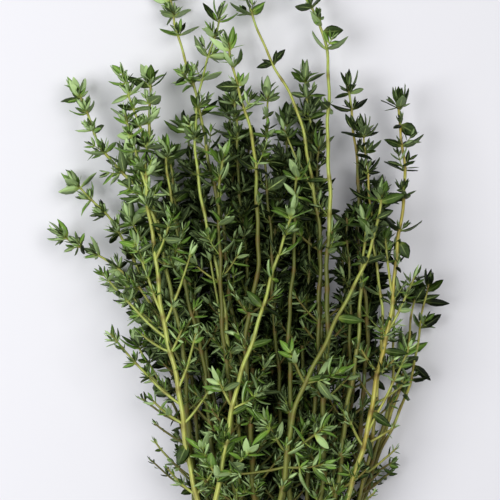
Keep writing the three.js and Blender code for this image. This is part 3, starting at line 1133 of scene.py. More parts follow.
class Sprig:
    """One sprig: its stem, shoots, twigs and leaves, grown from its plan."""

    def __init__(self, number: int, plan: SprigPlan) -> None:
        """Grows a sprig.

        Args:
            number: Its place in the list of plans.
            plan: Where it lies.
        """
        self.number = number
        self.plan = plan
        self.node = f"sprig_{number + 1:02d}"
        self.chance = random.Random(number * SEED_STEP + SEED)
        # Painted shade by layer: the lower a sprig lies, the darker it is painted, give or take a random
        # difference.
        self.tone = PAINTED_LAYER_LIGHT[plan.layer] + self.chance.uniform(-TONE_RANGE, TONE_RANGE)
        foot = Vector((0.0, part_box(self.node)[0].y / MM - plan.route[0][1]))
        route = [(x + foot.x, y + foot.y) for x, y in plan.route]
        self.stem = Stem(Route.through(route), plan.layer, MAIN_STEM)
        self.shoots: list[Stem] = []
        self.twigs: list[Twig] = []
        self.leaves: list[Leaf] = []
        self._grow()

    def _grow(self) -> None:
        """Adds branches, shoots, twigs and leaves."""
        for from_y, (x, y) in self.plan.branches:
            self._shoot(self._share_at_y(from_y), Vector((x, y, 0.0)), HABIT.branch_lift)
        for joint, rest in enumerate(HABIT.main_joints(self.stem.route.length)):
            self._ordinary_shoots(joint, 1.0 - rest / self.stem.route.length)
        for stem in (self.stem, *self.shoots):
            self._dress(stem)
        for at_y, turn, length, breadth in self.plan.marked:
            self._marked_leaf(at_y, math.radians(turn), length, breadth)

    def _marked_leaf(self, at_y: float, turn: float, length: float, breadth: float) -> None:
        """Adds a leaf that stands out and lies almost level.

        Args:
            at_y: The y where it leaves the stem.
            turn: Its turn to the right off the stem, in radians.
            length: Its length.
            breadth: Its width as a share of a broad leaf's.
        """
        point, along = self.stem.at(self._share_at_y(at_y))
        level = along * math.cos(turn) + along.cross(UP) * math.sin(turn)
        direction = (level + UP * LOOK.marked_rise).normalized()
        face = (UP + direction.cross(UP) * LOOK.marked_roll).normalized()
        face = (face - direction * face.dot(direction)).normalized()
        # A leaf that stands out gets part of its sprig's painted light.
        tone = max(0.0, LOOK.marked_tone * self.tone)
        leaf = Leaf(point, direction, face, length, breadth, tone, LOOK.marked_youth, LeafKind.BROAD)
        self.leaves.append(leaf)

    def _share_at_y(self, y: float) -> float:
        """Finds where the stem passes a y, by halving.

        Args:
            y: The y.

        Returns:
            The share of the stem's length.
        """
        low, high = 0.0, 1.0
        for _ in range(HALVINGS):
            middle = (low + high) / 2
            low, high = (middle, high) if self.stem.at(middle)[0].y < y else (low, middle)
        return low

    def _shoot(self, share: float, end: Vector, lift: float) -> None:
        """Adds a side shoot.

        Args:
            share: Where on the stem it leaves.
            end: Where it ends, on the plan.
            lift: How far its tip is raised.
        """
        start, along = self.stem.at(share)
        start.z = 0.0
        control = start.lerp(end, 0.5) - along * HABIT.shoot_bow * (end - start).length
        self.shoots.append(Stem(Route.bowed(start, control, end), self.plan.layer, SHOOT, lift))

    def _ordinary_shoots(self, joint: int, share: float) -> None:
        """Adds the side shoots of every second joint, on both sides of the stem.

        Args:
            joint: The joint's number, from the tip.
            share: Where it is.
        """
        length = self.plan.reach * min(1.0, HABIT.shoot_taper * (1.0 - share)) if joint % 2 else 0.0
        point, along = self.stem.at(share)
        if length < HABIT.shortest_shoot or point.y < HABIT.leafy_from:
            return
        beside = along.cross(UP)
        for side in (-1, 1):
            chance = spread(self.number * 7 + joint * 3 + side)
            wish = length * HABIT.shoot_length.at(chance)
            angle = math.radians(HABIT.shoot_angle.at(chance))
            end = point + along * wish * math.cos(angle) + beside * side * wish * math.sin(angle)
            end.z = 0.0
            self._shoot(share, end, HABIT.shoot_lift * chance)

    def _dress(self, stem: Stem) -> None:
        """Puts leaf pairs, twigs and the tip's rosette on a stem.

        Args:
            stem: The stem or shoot.
        """
        length = stem.route.length
        if stem.is_main:
            joints = HABIT.main_joints(length)
            if self.plan.layer < Layer.MIDDLE:
                spaced = joints[HABIT.doubled_from :]
                joints += [(first + second) / 2 for first, second in zip(spaced, spaced[1:])]
            stem.joints = [*HABIT.rosette, *joints]
        else:
            stem.joints = [rest for rest in HABIT.shoot_joints if rest < length * HABIT.shoot_foot]
        for joint, rest in enumerate(stem.joints):
            if stem.at(1.0 - rest / length)[0].y > HABIT.leafy_from:
                self._joint(stem, joint, rest)

    def _joint(self, stem: Stem, joint: int, rest: float) -> None:
        """Adds two opposite leaves and the twigs in their axils.

        Args:
            stem: The stem.
            joint: The joint's number from the tip.
            rest: How far it is from the tip.
        """
        chance = self.chance
        point, along = stem.at(1.0 - rest / stem.route.length)
        if rest > HABIT.kept_tip and chance.random() < self._bareness(stem, point):
            return
        grown = HABIT.leaf * HABIT.leaf_length(stem, point, rest)
        youth = max(0.0, 1.0 - rest / HABIT.fresh_span) * HABIT.fresh + chance.uniform(*HABIT.fresher)
        turn = self._turn(joint, rest)
        opening = HABIT.opening.at(rest)
        deep = PILE.crowding(point.x, point.y) > COVER.crowded
        for half in (0.0, 180.0):
            azimuth = math.radians(turn + half + chance.uniform(*HABIT.turning))
            theta = math.radians(opening + chance.uniform(*HABIT.leaning))
            length = grown * chance.uniform(*HABIT.uneven)
            self._leaf(point, along, azimuth, theta, length, youth, self._grown_kind())
            if rest > HABIT.tufts_from and chance.random() > self._bareness(stem, point):
                self._tuft(stem, point, along, azimuth, rest)
                if self._is_bushy(point):
                    beside = azimuth + math.radians(chance.uniform(*HABIT.between))
                    self._tuft(stem, point, along, beside, rest)
                if self.plan.layer < Layer.MIDDLE and stem.is_main and deep:
                    beside = azimuth - math.radians(chance.uniform(*HABIT.between))
                    self._tuft(stem, point, along, beside, rest)

    def _turn(self, joint: int, rest: float) -> float:
        """Draws how a pair of leaves is turned round its stem.

        Args:
            joint: The joint's number from the tip.
            rest: How far it is from the tip.

        Returns:
            The turn out of the level, in degrees.
        """
        if rest < HABIT.crosswise:
            return 90.0 * joint + self.chance.uniform(*HABIT.crossing)
        lies = self.chance.random() < HABIT.lying_share
        return self.chance.uniform(*(HABIT.lying if lies else HABIT.standing))

    def _is_bushy(self, point: Vector) -> bool:
        """Tells whether joints have twice the twigs: low in the bundle, at its feet and on its left.

        Args:
            point: The joint.

        Returns:
            Whether they do.
        """
        near = COVER.is_within(COVER.bushy, point)
        lowest_y = COVER.feet if near else COVER.crown
        low = self.plan.layer < Layer.UPPER and point.y > lowest_y and point.x < COVER.right
        high = self.plan.layer >= Layer.HIGH and point.y < COVER.crown and near
        return low or high or (point.y > COVER.crown and point.x < COVER.left)

    def _bareness(self, stem: Stem, point: Vector) -> float:
        """Says how likely a joint has lost its leaves: at the sides of the feet, or in the middle.

        Args:
            stem: Its stem.
            point: The joint.

        Returns:
            A chance from 0 to 1.
        """
        low, high = self.plan.bare
        if stem.is_main and low < point.y < high:
            return COVER.bare
        if point.y < COVER.thinning and COVER.aside(point) > COVER.leafy[0]:
            if point.y > COVER.ankle:
                return COVER.bare
            return COVER.bare_feet[0 if COVER.is_within(COVER.leafy, point) else 1]
        if point.x > COVER.right and self.plan.layer < Layer.UPPER:
            return COVER.bare
        if self.plan.layer < Layer.HIGH:
            return 0.0
        return COVER.worn[0 if point.y > COVER.crown else 1] * PILE.crowding(point.x, point.y)

    def _grown_kind(self) -> LeafKind:
        """Draws the shape of a grown leaf, a detailed one on the upper sprigs.

        Returns:
            The shape.
        """
        kinds = GROWN_KINDS if self.plan.layer >= Layer.UPPER else PLAIN_KINDS
        weights = TOP_KIND_WEIGHTS if self.plan.layer >= Layer.TOP else KIND_WEIGHTS
        return self.chance.choices(kinds, weights)[0]

    def _tuft(self, stem: Stem, point: Vector, along: Vector, azimuth: float, rest: float) -> None:
        """Adds a twig with small leaves in the axil of a leaf, unless the axil stays empty.

        Args:
            stem: The stem.
            point: The joint.
            along: The stem's direction.
            azimuth: The leaf's direction round the stem, in radians.
            rest: How far the joint is from the tip.
        """
        if stem.is_main:
            inner = self.plan.layer >= Layer.HIGH and COVER.is_within(COVER.leafy, point)
            shy = point.y < COVER.thinning and not inner
            longer = TUFTS.longer.at(rest) * (TUFTS.shy if shy else 1.0)
            reach = TUFTS.shortest + longer * self.chance.random() ** TUFTS.rarity
            longest_leaf = TUFTS.bushy_leaf if self._is_bushy(point) else TUFTS.leaf
        else:
            if self.chance.random() < TUFTS.missing:
                return
            reach = TUFTS.shoot_twig.at(self.chance.random())
            longest_leaf = TUFTS.shoot_leaf
        out = self._aim(along, azimuth, math.radians(self.chance.uniform(*TUFTS.angle)))
        tip = point + out * reach
        if PILE.in_gap(tip):
            return
        bend = point.lerp(tip, 0.5) - along * TUFTS.sag * reach
        self.twigs.append(Twig(point.copy(), bend, tip))
        self._small_leaves(tip, out, azimuth, reach, longest_leaf)

    def _small_leaves(
        self, tip: Vector, out: Vector, azimuth: float, reach: float, longest: float
    ) -> None:
        """Puts the pairs of leaves on a twig, from its tip down.

        Args:
            tip: The twig's tip.
            out: The twig's direction.
            azimuth: The turn of its first pair, in radians.
            reach: The twig's length.
            longest: The length of its longest leaf.
        """
        chance = self.chance
        for pair, rest in enumerate(TUFTS.pairs):
            if rest > reach * TUFTS.lowest and pair >= TUFTS.always:
                break
            base = tip - out * min(rest, reach * TUFTS.foot)
            turn = azimuth + math.radians(TUFTS.quarter * pair + chance.uniform(*HABIT.crossing))
            for half in (0.0, math.pi):
                theta = math.radians(TUFTS.opening.at(rest) + chance.uniform(*TUFTS.leaning))
                length = min(longest, TUFTS.leaf_length.at(rest)) * chance.uniform(*HABIT.uneven)
                youth = TUFTS.youth.at(chance.random())
                self._leaf(base, out, turn + half, theta, length, youth, chance.choice(SMALL_KINDS))

    @staticmethod
    def _aim(along: Vector, azimuth: float, theta: float) -> Vector:
        """Finds a direction that leaves a stem.

        Args:
            along: The stem's direction.
            azimuth: The turn round the stem, in radians, from its right side upwards.
            theta: The angle off the stem, in radians.

        Returns:
            The direction.
        """
        beside = along.cross(UP).normalized()
        above = beside.cross(along).normalized()
        radial = beside * math.cos(azimuth) + above * math.sin(azimuth)
        return along * math.cos(theta) + radial * math.sin(theta)

    def _leaf(
        self,
        point: Vector,
        along: Vector,
        azimuth: float,
        theta: float,
        length: float,
        youth: float,
        kind: LeafKind,
    ) -> None:
        """Adds one leaf.

        Args:
            point: Where it leaves the stem.
            along: The stem's direction.
            azimuth: Its turn round the stem, in radians.
            theta: Its angle off the stem, in radians.
            length: Its length.
            youth: How fresh it is.
            kind: Its shape.
        """
        direction = self._aim(along, azimuth, theta)
        direction.z = max(direction.z, (LOOK.clearance - point.z) / length)
        direction.normalize()
        face = self._face(along, direction)
        breadth = self._breadth(point)
        tone = self._tone(point)
        if not PILE.in_gap(point + direction * LOOK.middle * length):
            self.leaves.append(Leaf(point.copy(), direction, face, length, breadth, tone, youth, kind))

    def _face(self, along: Vector, direction: Vector) -> Vector:
        """Draws where a leaf's upper side looks: inwards, give or take, or almost up or down.

        Args:
            along: The stem's direction.
            direction: The leaf's direction.

        Returns:
            The direction of its upper side.
        """
        level = UP - direction * UP.dot(direction)
        face = along - direction * along.dot(direction)
        if face.length < LOOK.edge_on:
            face = level.copy()
        face.normalize()
        twist = math.radians(self.chance.gauss(0, LOOK.twist))
        face.rotate(Matrix.Rotation(twist, 3, direction))
        if self.chance.random() < LOOK.level:
            side = 1.0 if self.chance.random() < LOOK.upwards else -1.0
            face = face.lerp(level * side, self.chance.uniform(*LOOK.levelling)).normalized()
        return face

    def _breadth(self, point: Vector) -> float:
        """Draws how broad a leaf is.

        Args:
            point: Where it leaves the stem.

        Returns:
            Its width as a share of the usual width.
        """
        breadth = self.chance.uniform(*LOOK.breadth)
        lower_half = Layer.UPPER <= self.plan.layer < Layer.SLANTING and point.y < 0.0
        if lower_half and self.chance.random() < LOOK.narrow:
            breadth *= LOOK.narrow_breadth
        if self.plan.layer < Layer.MIDDLE:
            breadth *= LOOK.lower_breadth.at(PILE.crowding(point.x, point.y))
        return breadth

    def _tone(self, point: Vector) -> float:
        """Draws how much painted light a leaf gets.

        Args:
            point: Where it leaves the stem.

        Returns:
            Its painted light, from 0 to 1.
        """
        chance = self.chance
        # Painted light and shade: a share of leaves are painted as in the shade of others, single ones
        # as catching light.
        spot = LOOK.spots * self.plan.layer * chance.random() ** LOOK.spot_rarity
        share = chance.uniform(*(LOOK.shade if chance.random() < LOOK.painted_shade else LOOK.lit))
        return min(1.0, max(0.0, LOOK.light(self.tone, self.plan.layer, point) * share + spot))


# ---- Meshes ----------------------------------------------

FEW_CORNERS = 4


@dataclass(frozen=True)
class LeafShape:
    """One leaf of length 1, along +Y, its upper side to +Z. Sizes are shares of its length."""

    width: float  # Its greatest width
    fold: float  # How far its sides are folded up, in degrees. Less than 0 folds them down.
    bend: float  # How far its tip bends down, in radians over its length
    roll: float  # How far its rim is rolled under, as a share of its width
    stations: tuple[float, ...] = (0.0, 0.2, 0.44, 0.7, 0.92)  # Where along it its sections are
    corners: int = 8  # How many corners a section has
    thickness: float = 0.05  # Its thickness
    belly: float = 0.8  # How near its widest place is to its tip. At 1, it is halfway.
    fullness: float = 0.85  # How quickly it gets wide. Less is quicker.
    stalk: float = 0.14  # The width of its stalk, as a share of its width
    stalk_end: float = 0.3  # Where its stalk ends
    tuck: float = 0.25  # How far a rolled rim is drawn in
    groove: float = 0.6  # How deep its midrib lies above, as a share of its thickness
    keel: float = 0.5  # How far its midrib stands out beneath, as a share of its thickness
    root: float = 0.02  # How far its foot reaches into its stem

    def with_fewer_faces(self, stations: tuple[float, ...]) -> "LeafShape":
        """Returns the same leaf with four corners to a section and other sections."""
        return replace(self, stations=stations, corners=FEW_CORNERS)

    def _half_width(self, along: float) -> float:
        """Returns half the leaf's width at a share of its length: a short stalk, then a lens."""
        blade = max(0.0, math.sin(math.pi * along**self.belly)) ** self.fullness
        return self.width / 2 * max(self.stalk if along < self.stalk_end else 0.0, blade)

    def _midrib(self, along: float) -> Vector:
        """Finds a point of the midrib, on an arc of a circle.

        Args:
            along: How far along the leaf it is.

        Returns:
            The point.
        """
        if abs(self.bend) < 1e-4:
            return Vector((0, along, 0))
        radius = 1.0 / self.bend
        angle = along * self.bend
        return Vector((0, radius * math.sin(angle), -radius * (1 - math.cos(angle))))

    def _section(self, along: float) -> Iterator[tuple[Vector, Pair, float]]:
        """Yields a section's corners, from its right rim round over its top.

        Args:
            along: Where along the leaf it is.

        Yields:
            The corner's place, its UV place, and 1 for the under side, 0 for the upper, 0.5 for the rim.
        """
        middle, half, fold = self._midrib(along), self._half_width(along), math.radians(self.fold)
        for corner in range(self.corners):
            angle = 2 * math.pi * corner / self.corners
            across, high = math.cos(angle), math.sin(angle)
            side = abs(across)
            x = across * half * math.cos(fold) * (1 - self.tuck * self.roll * side**3)
            z = side * half * math.sin(fold) - self.roll * half * side**4
            z += high * self.thickness / 2
            z -= (1 - side) ** 4 * self.thickness * (self.groove if high > 0 else self.keel)
            under = 0.5 if abs(high) < 1e-6 else float(high < 0)
            yield Vector((x, middle.y, middle.z + z)), (0.5 + 0.5 * across, along), under

    def build(self, name: str) -> bpy.types.Object:
        """Builds the leaf.

        Args:
            name: The name of its object.

        Returns:
            Its object, with a UV map (across, along) and the value under.
        """
        rows = [corner for along in self.stations for corner in self._section(along)]
        rows.append((Vector((0, -self.root, 0)), (0.5, 0.0), 0.5))
        rows.append((self._midrib(1.0), (0.5, 1.0), 0.5))
        base, tip = len(rows) - 2, len(rows) - 1
        n, last = self.corners, (len(self.stations) - 1) * self.corners
        faces = []
        for corner in range(n):
            after = (corner + 1) % n
            for start in range(0, last, n):
                faces.append((start + corner, start + n + corner, start + n + after, start + after))
            faces.append((corner, after, base))
            faces.append((last + after, last + corner, tip))
        mesh = bpy.data.meshes.new(name)
        mesh.from_pydata([place for place, _, _ in rows], [], faces)
        layer = mesh.uv_layers.new(name="UVMap")
        for loop in mesh.loops:
            layer.data[loop.index].uv = rows[loop.vertex_index][1]
        store(mesh, "under", [under for _, _, under in rows])
        mesh.shade_smooth()
        return bpy.data.objects.new(name, mesh)


GROWN_SHAPES = {
    LeafKind.LONG: LeafShape(0.34, -14, -0.45, 0.22),
    LeafKind.FOLDED: LeafShape(0.37, 30, -0.8, 0.05),
    LeafKind.BROAD: LeafShape(0.48, -8, 0.3, 0.1),
    LeafKind.CURLED: LeafShape(0.36, -28, 1.1, 0.35),
}
PLAIN_STATIONS = (0.0, 0.28, 0.6, 0.88)
SMALL_STATIONS = (0.06, 0.4, 0.76)
PLAIN_SHAPES = [shape.with_fewer_faces(PLAIN_STATIONS) for shape in GROWN_SHAPES.values()]
LEAF_SHAPES = {
    **GROWN_SHAPES,
    **dict(zip(PLAIN_KINDS, PLAIN_SHAPES)),
    LeafKind.SMALL: LeafShape(0.36, -12, 0.3, 0.1, SMALL_STATIONS, FEW_CORNERS),
    LeafKind.SMALL_FOLDED: LeafShape(0.34, 24, -0.6, 0.0, SMALL_STATIONS, FEW_CORNERS),
}


def store(mesh: bpy.types.Mesh, name: str, values: Sequence[Any], kind: str = "FLOAT") -> None:
    """Stores values at a mesh's points, flat and of the kind FLOAT, INT or FLOAT_VECTOR."""
    attribute = mesh.attributes.new(name, kind, "POINT")
    attribute.data.foreach_set("vector" if kind == "FLOAT_VECTOR" else "value", values)


class GeometryTree(Tree):
    """A Geometry Nodes group in the making, with named inputs."""

    def __init__(self, name: str, **inputs: str) -> None:
        """Starts a group.

        Args:
            name: The group's name.
            inputs: The type of each named input, with _ for a space.
        """
        super().__init__(bpy.data.node_groups.new(name, "GeometryNodeTree"))
        ports = self.graph.interface
        ports.new_socket("Geometry", in_out="INPUT", socket_type="NodeSocketGeometry")
        ports.new_socket("Geometry", in_out="OUTPUT", socket_type="NodeSocketGeometry")
        inputs |= {"Pressed_to": "Float", "Softness": "Float", "Finish": "Material"}
        for label, kind in inputs.items():
            ports.new_socket(label.replace("_", " "), in_out="INPUT", socket_type="NodeSocket" + kind)
        self.start = self.graph.nodes.new("NodeGroupInput")
        self.end = self.graph.nodes.new("NodeGroupOutput")

    def given(self, name: str) -> Sock:
        """Returns the value of a named input."""
        return Sock(self, self.start.outputs[name])

    def stored(self, name: str, kind: str = "FLOAT") -> Sock:
        """Returns a value that the geometry stores under a name."""
        return self.node("GeometryNodeInputNamedAttribute", {"data_type": kind}, {"Name": name})

    def place(self) -> Sock:
        """Returns the place of a point."""
        return self.node("GeometryNodeInputPosition", {}, {})

    def scaled(self, vector: Sock, share: Sock | float) -> Sock:
        """Returns a vector, scaled by a number."""
        return self.node("ShaderNodeVectorMath", {"operation": "SCALE"}, {0: vector, "Scale": share})

    def _pressed(self, geometry: Sock) -> Sock:
        """Presses what would hang under the surface flat on it, without creasing it.

        Args:
            geometry: Real geometry.

        Returns:
            The pressed geometry.
        """
        rest, softness = self.given("Pressed to"), self.given("Softness")
        x = self.node("ShaderNodeSeparateXYZ", {}, {0: self.place()})
        over = x.beside("Z") - (rest + softness)
        soft = (over.least(0.0) / softness).exponential() * softness
        height = soft + (over.most(0.0) + rest)
        moved = self.node("ShaderNodeCombineXYZ", {}, {"X": x, "Y": x.beside("Y"), "Z": height})
        return self.node("GeometryNodeSetPosition", {}, {"Geometry": geometry, "Position": moved})

    def finish(self, geometry: Sock) -> None:
        """Leads the geometry out, as real geometry with its material.

        Args:
            geometry: The geometry to lead out.
        """
        pressed = self._pressed(self.node("GeometryNodeRealizeInstances", {}, {"Geometry": geometry}))
        real = self.node("GeometryNodeRealizeInstances", {}, {"Geometry": pressed})
        dress = {"Geometry": real, "Material": self.given("Finish")}
        self.feed(self.end.inputs[0], self.node("GeometryNodeSetMaterial", {}, dress))

    def run(self, source: bpy.types.Object, **values: Any) -> bpy.types.Mesh:
        """Runs the finished group on an object of the scene.

        Args:
            source: The object. It is removed.
            values: The values of its named inputs, with _ for a space.

        Returns:
            The resulting mesh.
        """
        modifier = source.modifiers.new("grow", "NODES")
        modifier.node_group = self.graph
        for item in self.graph.interface.items_tree:
            label = item.name.replace(" ", "_")
            if item.in_out == "INPUT" and label in values:
                modifier[item.identifier] = values[label]
        scene = bpy.context.evaluated_depsgraph_get()
        mesh = bpy.data.meshes.new_from_object(source.evaluated_get(scene), depsgraph=scene)
        bpy.data.objects.remove(source)
        return mesh


class StemSweep(GeometryTree):
    """The group that sweeps stems along centre lines: square with soft edges, and plain for twigs."""

    def __init__(self) -> None:
        """Builds the group."""
        super().__init__("stem_sweep", Corners="Int", Twig_corners="Int", Squareness="Float")
        picked = {"Geometry": self.given("Geometry"), "Selection": self.stored("twig") > 0.5}
        lines = self.node("GeometryNodeSeparateGeometry", {}, picked, "Selection")
        twigs = self._swept(lines, "Twig corners", 0.0)
        stems = self._swept(lines.beside("Inverted"), "Corners", self.given("Squareness"))
        joined = self.node("GeometryNodeJoinGeometry", {}, {"Geometry": twigs})
        self.feed(joined.socket.node.inputs["Geometry"], stems)
        self.finish(self.node("GeometryNodeSetShadeSmooth", {}, {"Geometry": joined}))

    def _swept(self, edges: Sock, corners: str, flattening: Sock | float) -> Sock:
        """Sweeps a ring along edges, with every second corner pulled in.

        Args:
            edges: The edges.
            corners: The input that says how many corners the ring has.
            flattening: How far the corners are pulled in, as a share.

        Returns:
            The tubes. They store 1 under ridge at the corners that aren't pulled in.
        """
        line = self.node("GeometryNodeMeshToCurve", {}, {"Mesh": edges})
        circle = {"Resolution": self.given(corners), "Radius": 1.0}
        ring = self.node("GeometryNodeCurvePrimitiveCircle", {}, circle)
        hollow = self.node("GeometryNodeInputIndex", {}, {}) % 2.0
        ridged = self.node(
            "GeometryNodeStoreNamedAttribute",
            {"data_type": "FLOAT", "domain": "POINT"},
            {"Geometry": ring, "Name": "ridge", "Value": 1.0 - hollow},
        )
        pulled = self.scaled(self.place(), 1.0 - hollow * flattening)
        section = self.node("GeometryNodeSetPosition", {}, {"Geometry": ridged, "Position": pulled})
        tube = {"Curve": line, "Profile Curve": section, "Scale": self.stored("thickness")}
        return self.node("GeometryNodeCurveToMesh", {}, {**tube, "Fill Caps": True})


class LeafScatter(GeometryTree):
    """The group that puts one of the leaf shapes on each point, turned and sized by its values."""

    def __init__(self) -> None:
        """Builds the group."""
        super().__init__("leaf_scatter", Shapes="Collection", Tilt="Float", Seed="Int")
        shapes = self.node(
            "GeometryNodeCollectionInfo",
            {"transform_space": "ORIGINAL"},
            {"Collection": self.given("Shapes"), "Separate Children": True, "Reset Children": True},
        )
        turn = self._rotation(self.stored("turn", "FLOAT_VECTOR"))
        most = self.node("ShaderNodeCombineXYZ", {}, {axis: self.given("Tilt") for axis in range(3)})
        limits = {0: self.scaled(most, -1.0), 1: most, "Seed": self.given("Seed")}
        draw = self.node("FunctionNodeRandomValue", {"data_type": "FLOAT_VECTOR"}, limits)
        both = {0: turn, 1: self._rotation(draw)}
        placed = self.node(
            "GeometryNodeInstanceOnPoints",
            {},
            {
                "Points": self.given("Geometry"),
                "Instance": shapes,
                "Pick Instance": True,
                "Instance Index": self.stored("kind", "INT"),
                "Rotation": self.node("FunctionNodeRotateRotation", {"rotation_space": "LOCAL"}, both),
                "Scale": self.stored("size", "FLOAT_VECTOR"),
            },
        )
        self.finish(placed)

    def _rotation(self, angles: Sock) -> Sock:
        """Returns the rotation for three angles."""
        return self.node("FunctionNodeEulerToRotation", {}, {0: angles})


class CentreLines:
    """Centre lines with a set of values at each point."""

    def __init__(self) -> None:
        """Starts with no lines."""
        self.rows: list[dict[str, Any]] = []
        self.edges: list[tuple[int, int]] = []

    def add(self, rows: Sequence[dict[str, Any]]) -> None:
        """Adds a line.

        Args:
            rows: Its points from the foot on, in millimetres, with their values.
        """
        first = len(self.rows)
        self.rows += rows
        self.edges += [(first + i, first + i + 1) for i in range(len(rows) - 1)]

    def mesh(self) -> bpy.types.Mesh:
        """Makes the lines a mesh of edges, in metres.

        Returns:
            The mesh, which stores the lines' values at its points.
        """
        mesh = bpy.data.meshes.new("centre_lines")
        mesh.from_pydata([row["point"] * MM for row in self.rows], self.edges, [])
        for name in self.rows[0]:
            if name != "point":
                scale = MM if name == "thickness" else 1.0
                store(mesh, name, [row[name] * scale for row in self.rows])
        return mesh


@dataclass(frozen=True)
class StemLook:
    """How stems run and what their surface is like. Lengths are millimetres."""

    main_step: float = 2.2  # The length of a main stem's steps
    shoot_step: float = 2.4  # The length of a side shoot's steps
    fewest_steps: int = 4  # How many steps the shortest shoot has
    rim: float = 0.06  # From the cut end to the first ring behind it
    swelling: float = 0.22  # How much thicker a stem is at its joints
    joint: float = 1.2  # Half the length of a joint
    wobble: float = 0.5  # How far a stem sways from its plan
    # The sways, each as radians per millimetre and a share of the wobble
    sways: tuple[Pair, ...] = ((0.13, 1.0), (0.37, 0.4))
    firm: float = 10  # How far from its cut end a stem starts to sway
    slender: Pair = (0.74, 0.95)  # The thickness of the lower sprigs, from and to
    older_from: float = 20  # The x of the foot right of which stems are older
    gold: Pair = (0.35, 0.85)  # How woody stems are, the younger and the older ones
    gold_rarity: float = 0.6  # How rare stems with little of it are
    blush: float = 0.22  # How far stems can blush
    older_blush: float = 0.25  # How much more the older ones do
    rim_light: float = 0.65  # How much painted light stems outside the bundle get
    # Over what distance to the right their painted light falls by 1, on the left and on the right
    fall: Pair = (250.0, 600.0)
    painted_dimming: float = 0.55  # How much painted shade darkens them deep inside the bundle
    brightening: float = 14.0  # Over what length they get bright, as that painted shade fades out
    shoot: float = 0.4  # How much of the sway, the gold and the blush a side shoot has
    shoot_youth: Span = Span(0.5, 0.5)  # How young a side shoot is along it

    def marks(self, stem: Stem) -> list[float]:
        """Lists where a stem's rings are.

        Args:
            stem: The stem or shoot.

        Returns:
            How far they are from its foot.
        """
        length = stem.route.length
        step = self.main_step if stem.is_main else self.shoot_step
        count = max(self.fewest_steps, round(length / step))
        marks = [i * length / count for i in range(count + 1)]
        if stem.is_main:
            marks.insert(1, self.rim)
        return marks

    def sway(self, mark: float, phase: float) -> float:
        """Says how far a stem is off its plan, to its right.

        Args:
            mark: How far from the foot.
            phase: Where the sways start, in radians.

        Returns:
            The distance.
        """
        (slow, full), (quick, part) = self.sways
        sway = full * math.sin(mark * slow + phase) + part * math.sin(mark * quick - phase)
        return self.wobble * sway * min(1.0, mark / self.firm)

    def tone(self, sprig: Sprig, point: Vector) -> float:
        """Says how much painted light a stem gets at a place.

        Args:
            sprig: Its sprig.
            point: The place.

        Returns:
            The tone. What is under 0 or over 1 counts as 0 or 1.
        """
        inside = PILE.crowding(point.x, point.y)
        fall = self.fall[0 if point.x < 0.0 else 1]
        tone = sprig.tone + self.rim_light * (1.0 - inside) - point.x / fall
        painted_dimming = min(1.0, max(0.0, (sprig.plan.bright_from - point.y) / self.brightening))
        return tone * (1.0 - self.painted_dimming * inside * painted_dimming)


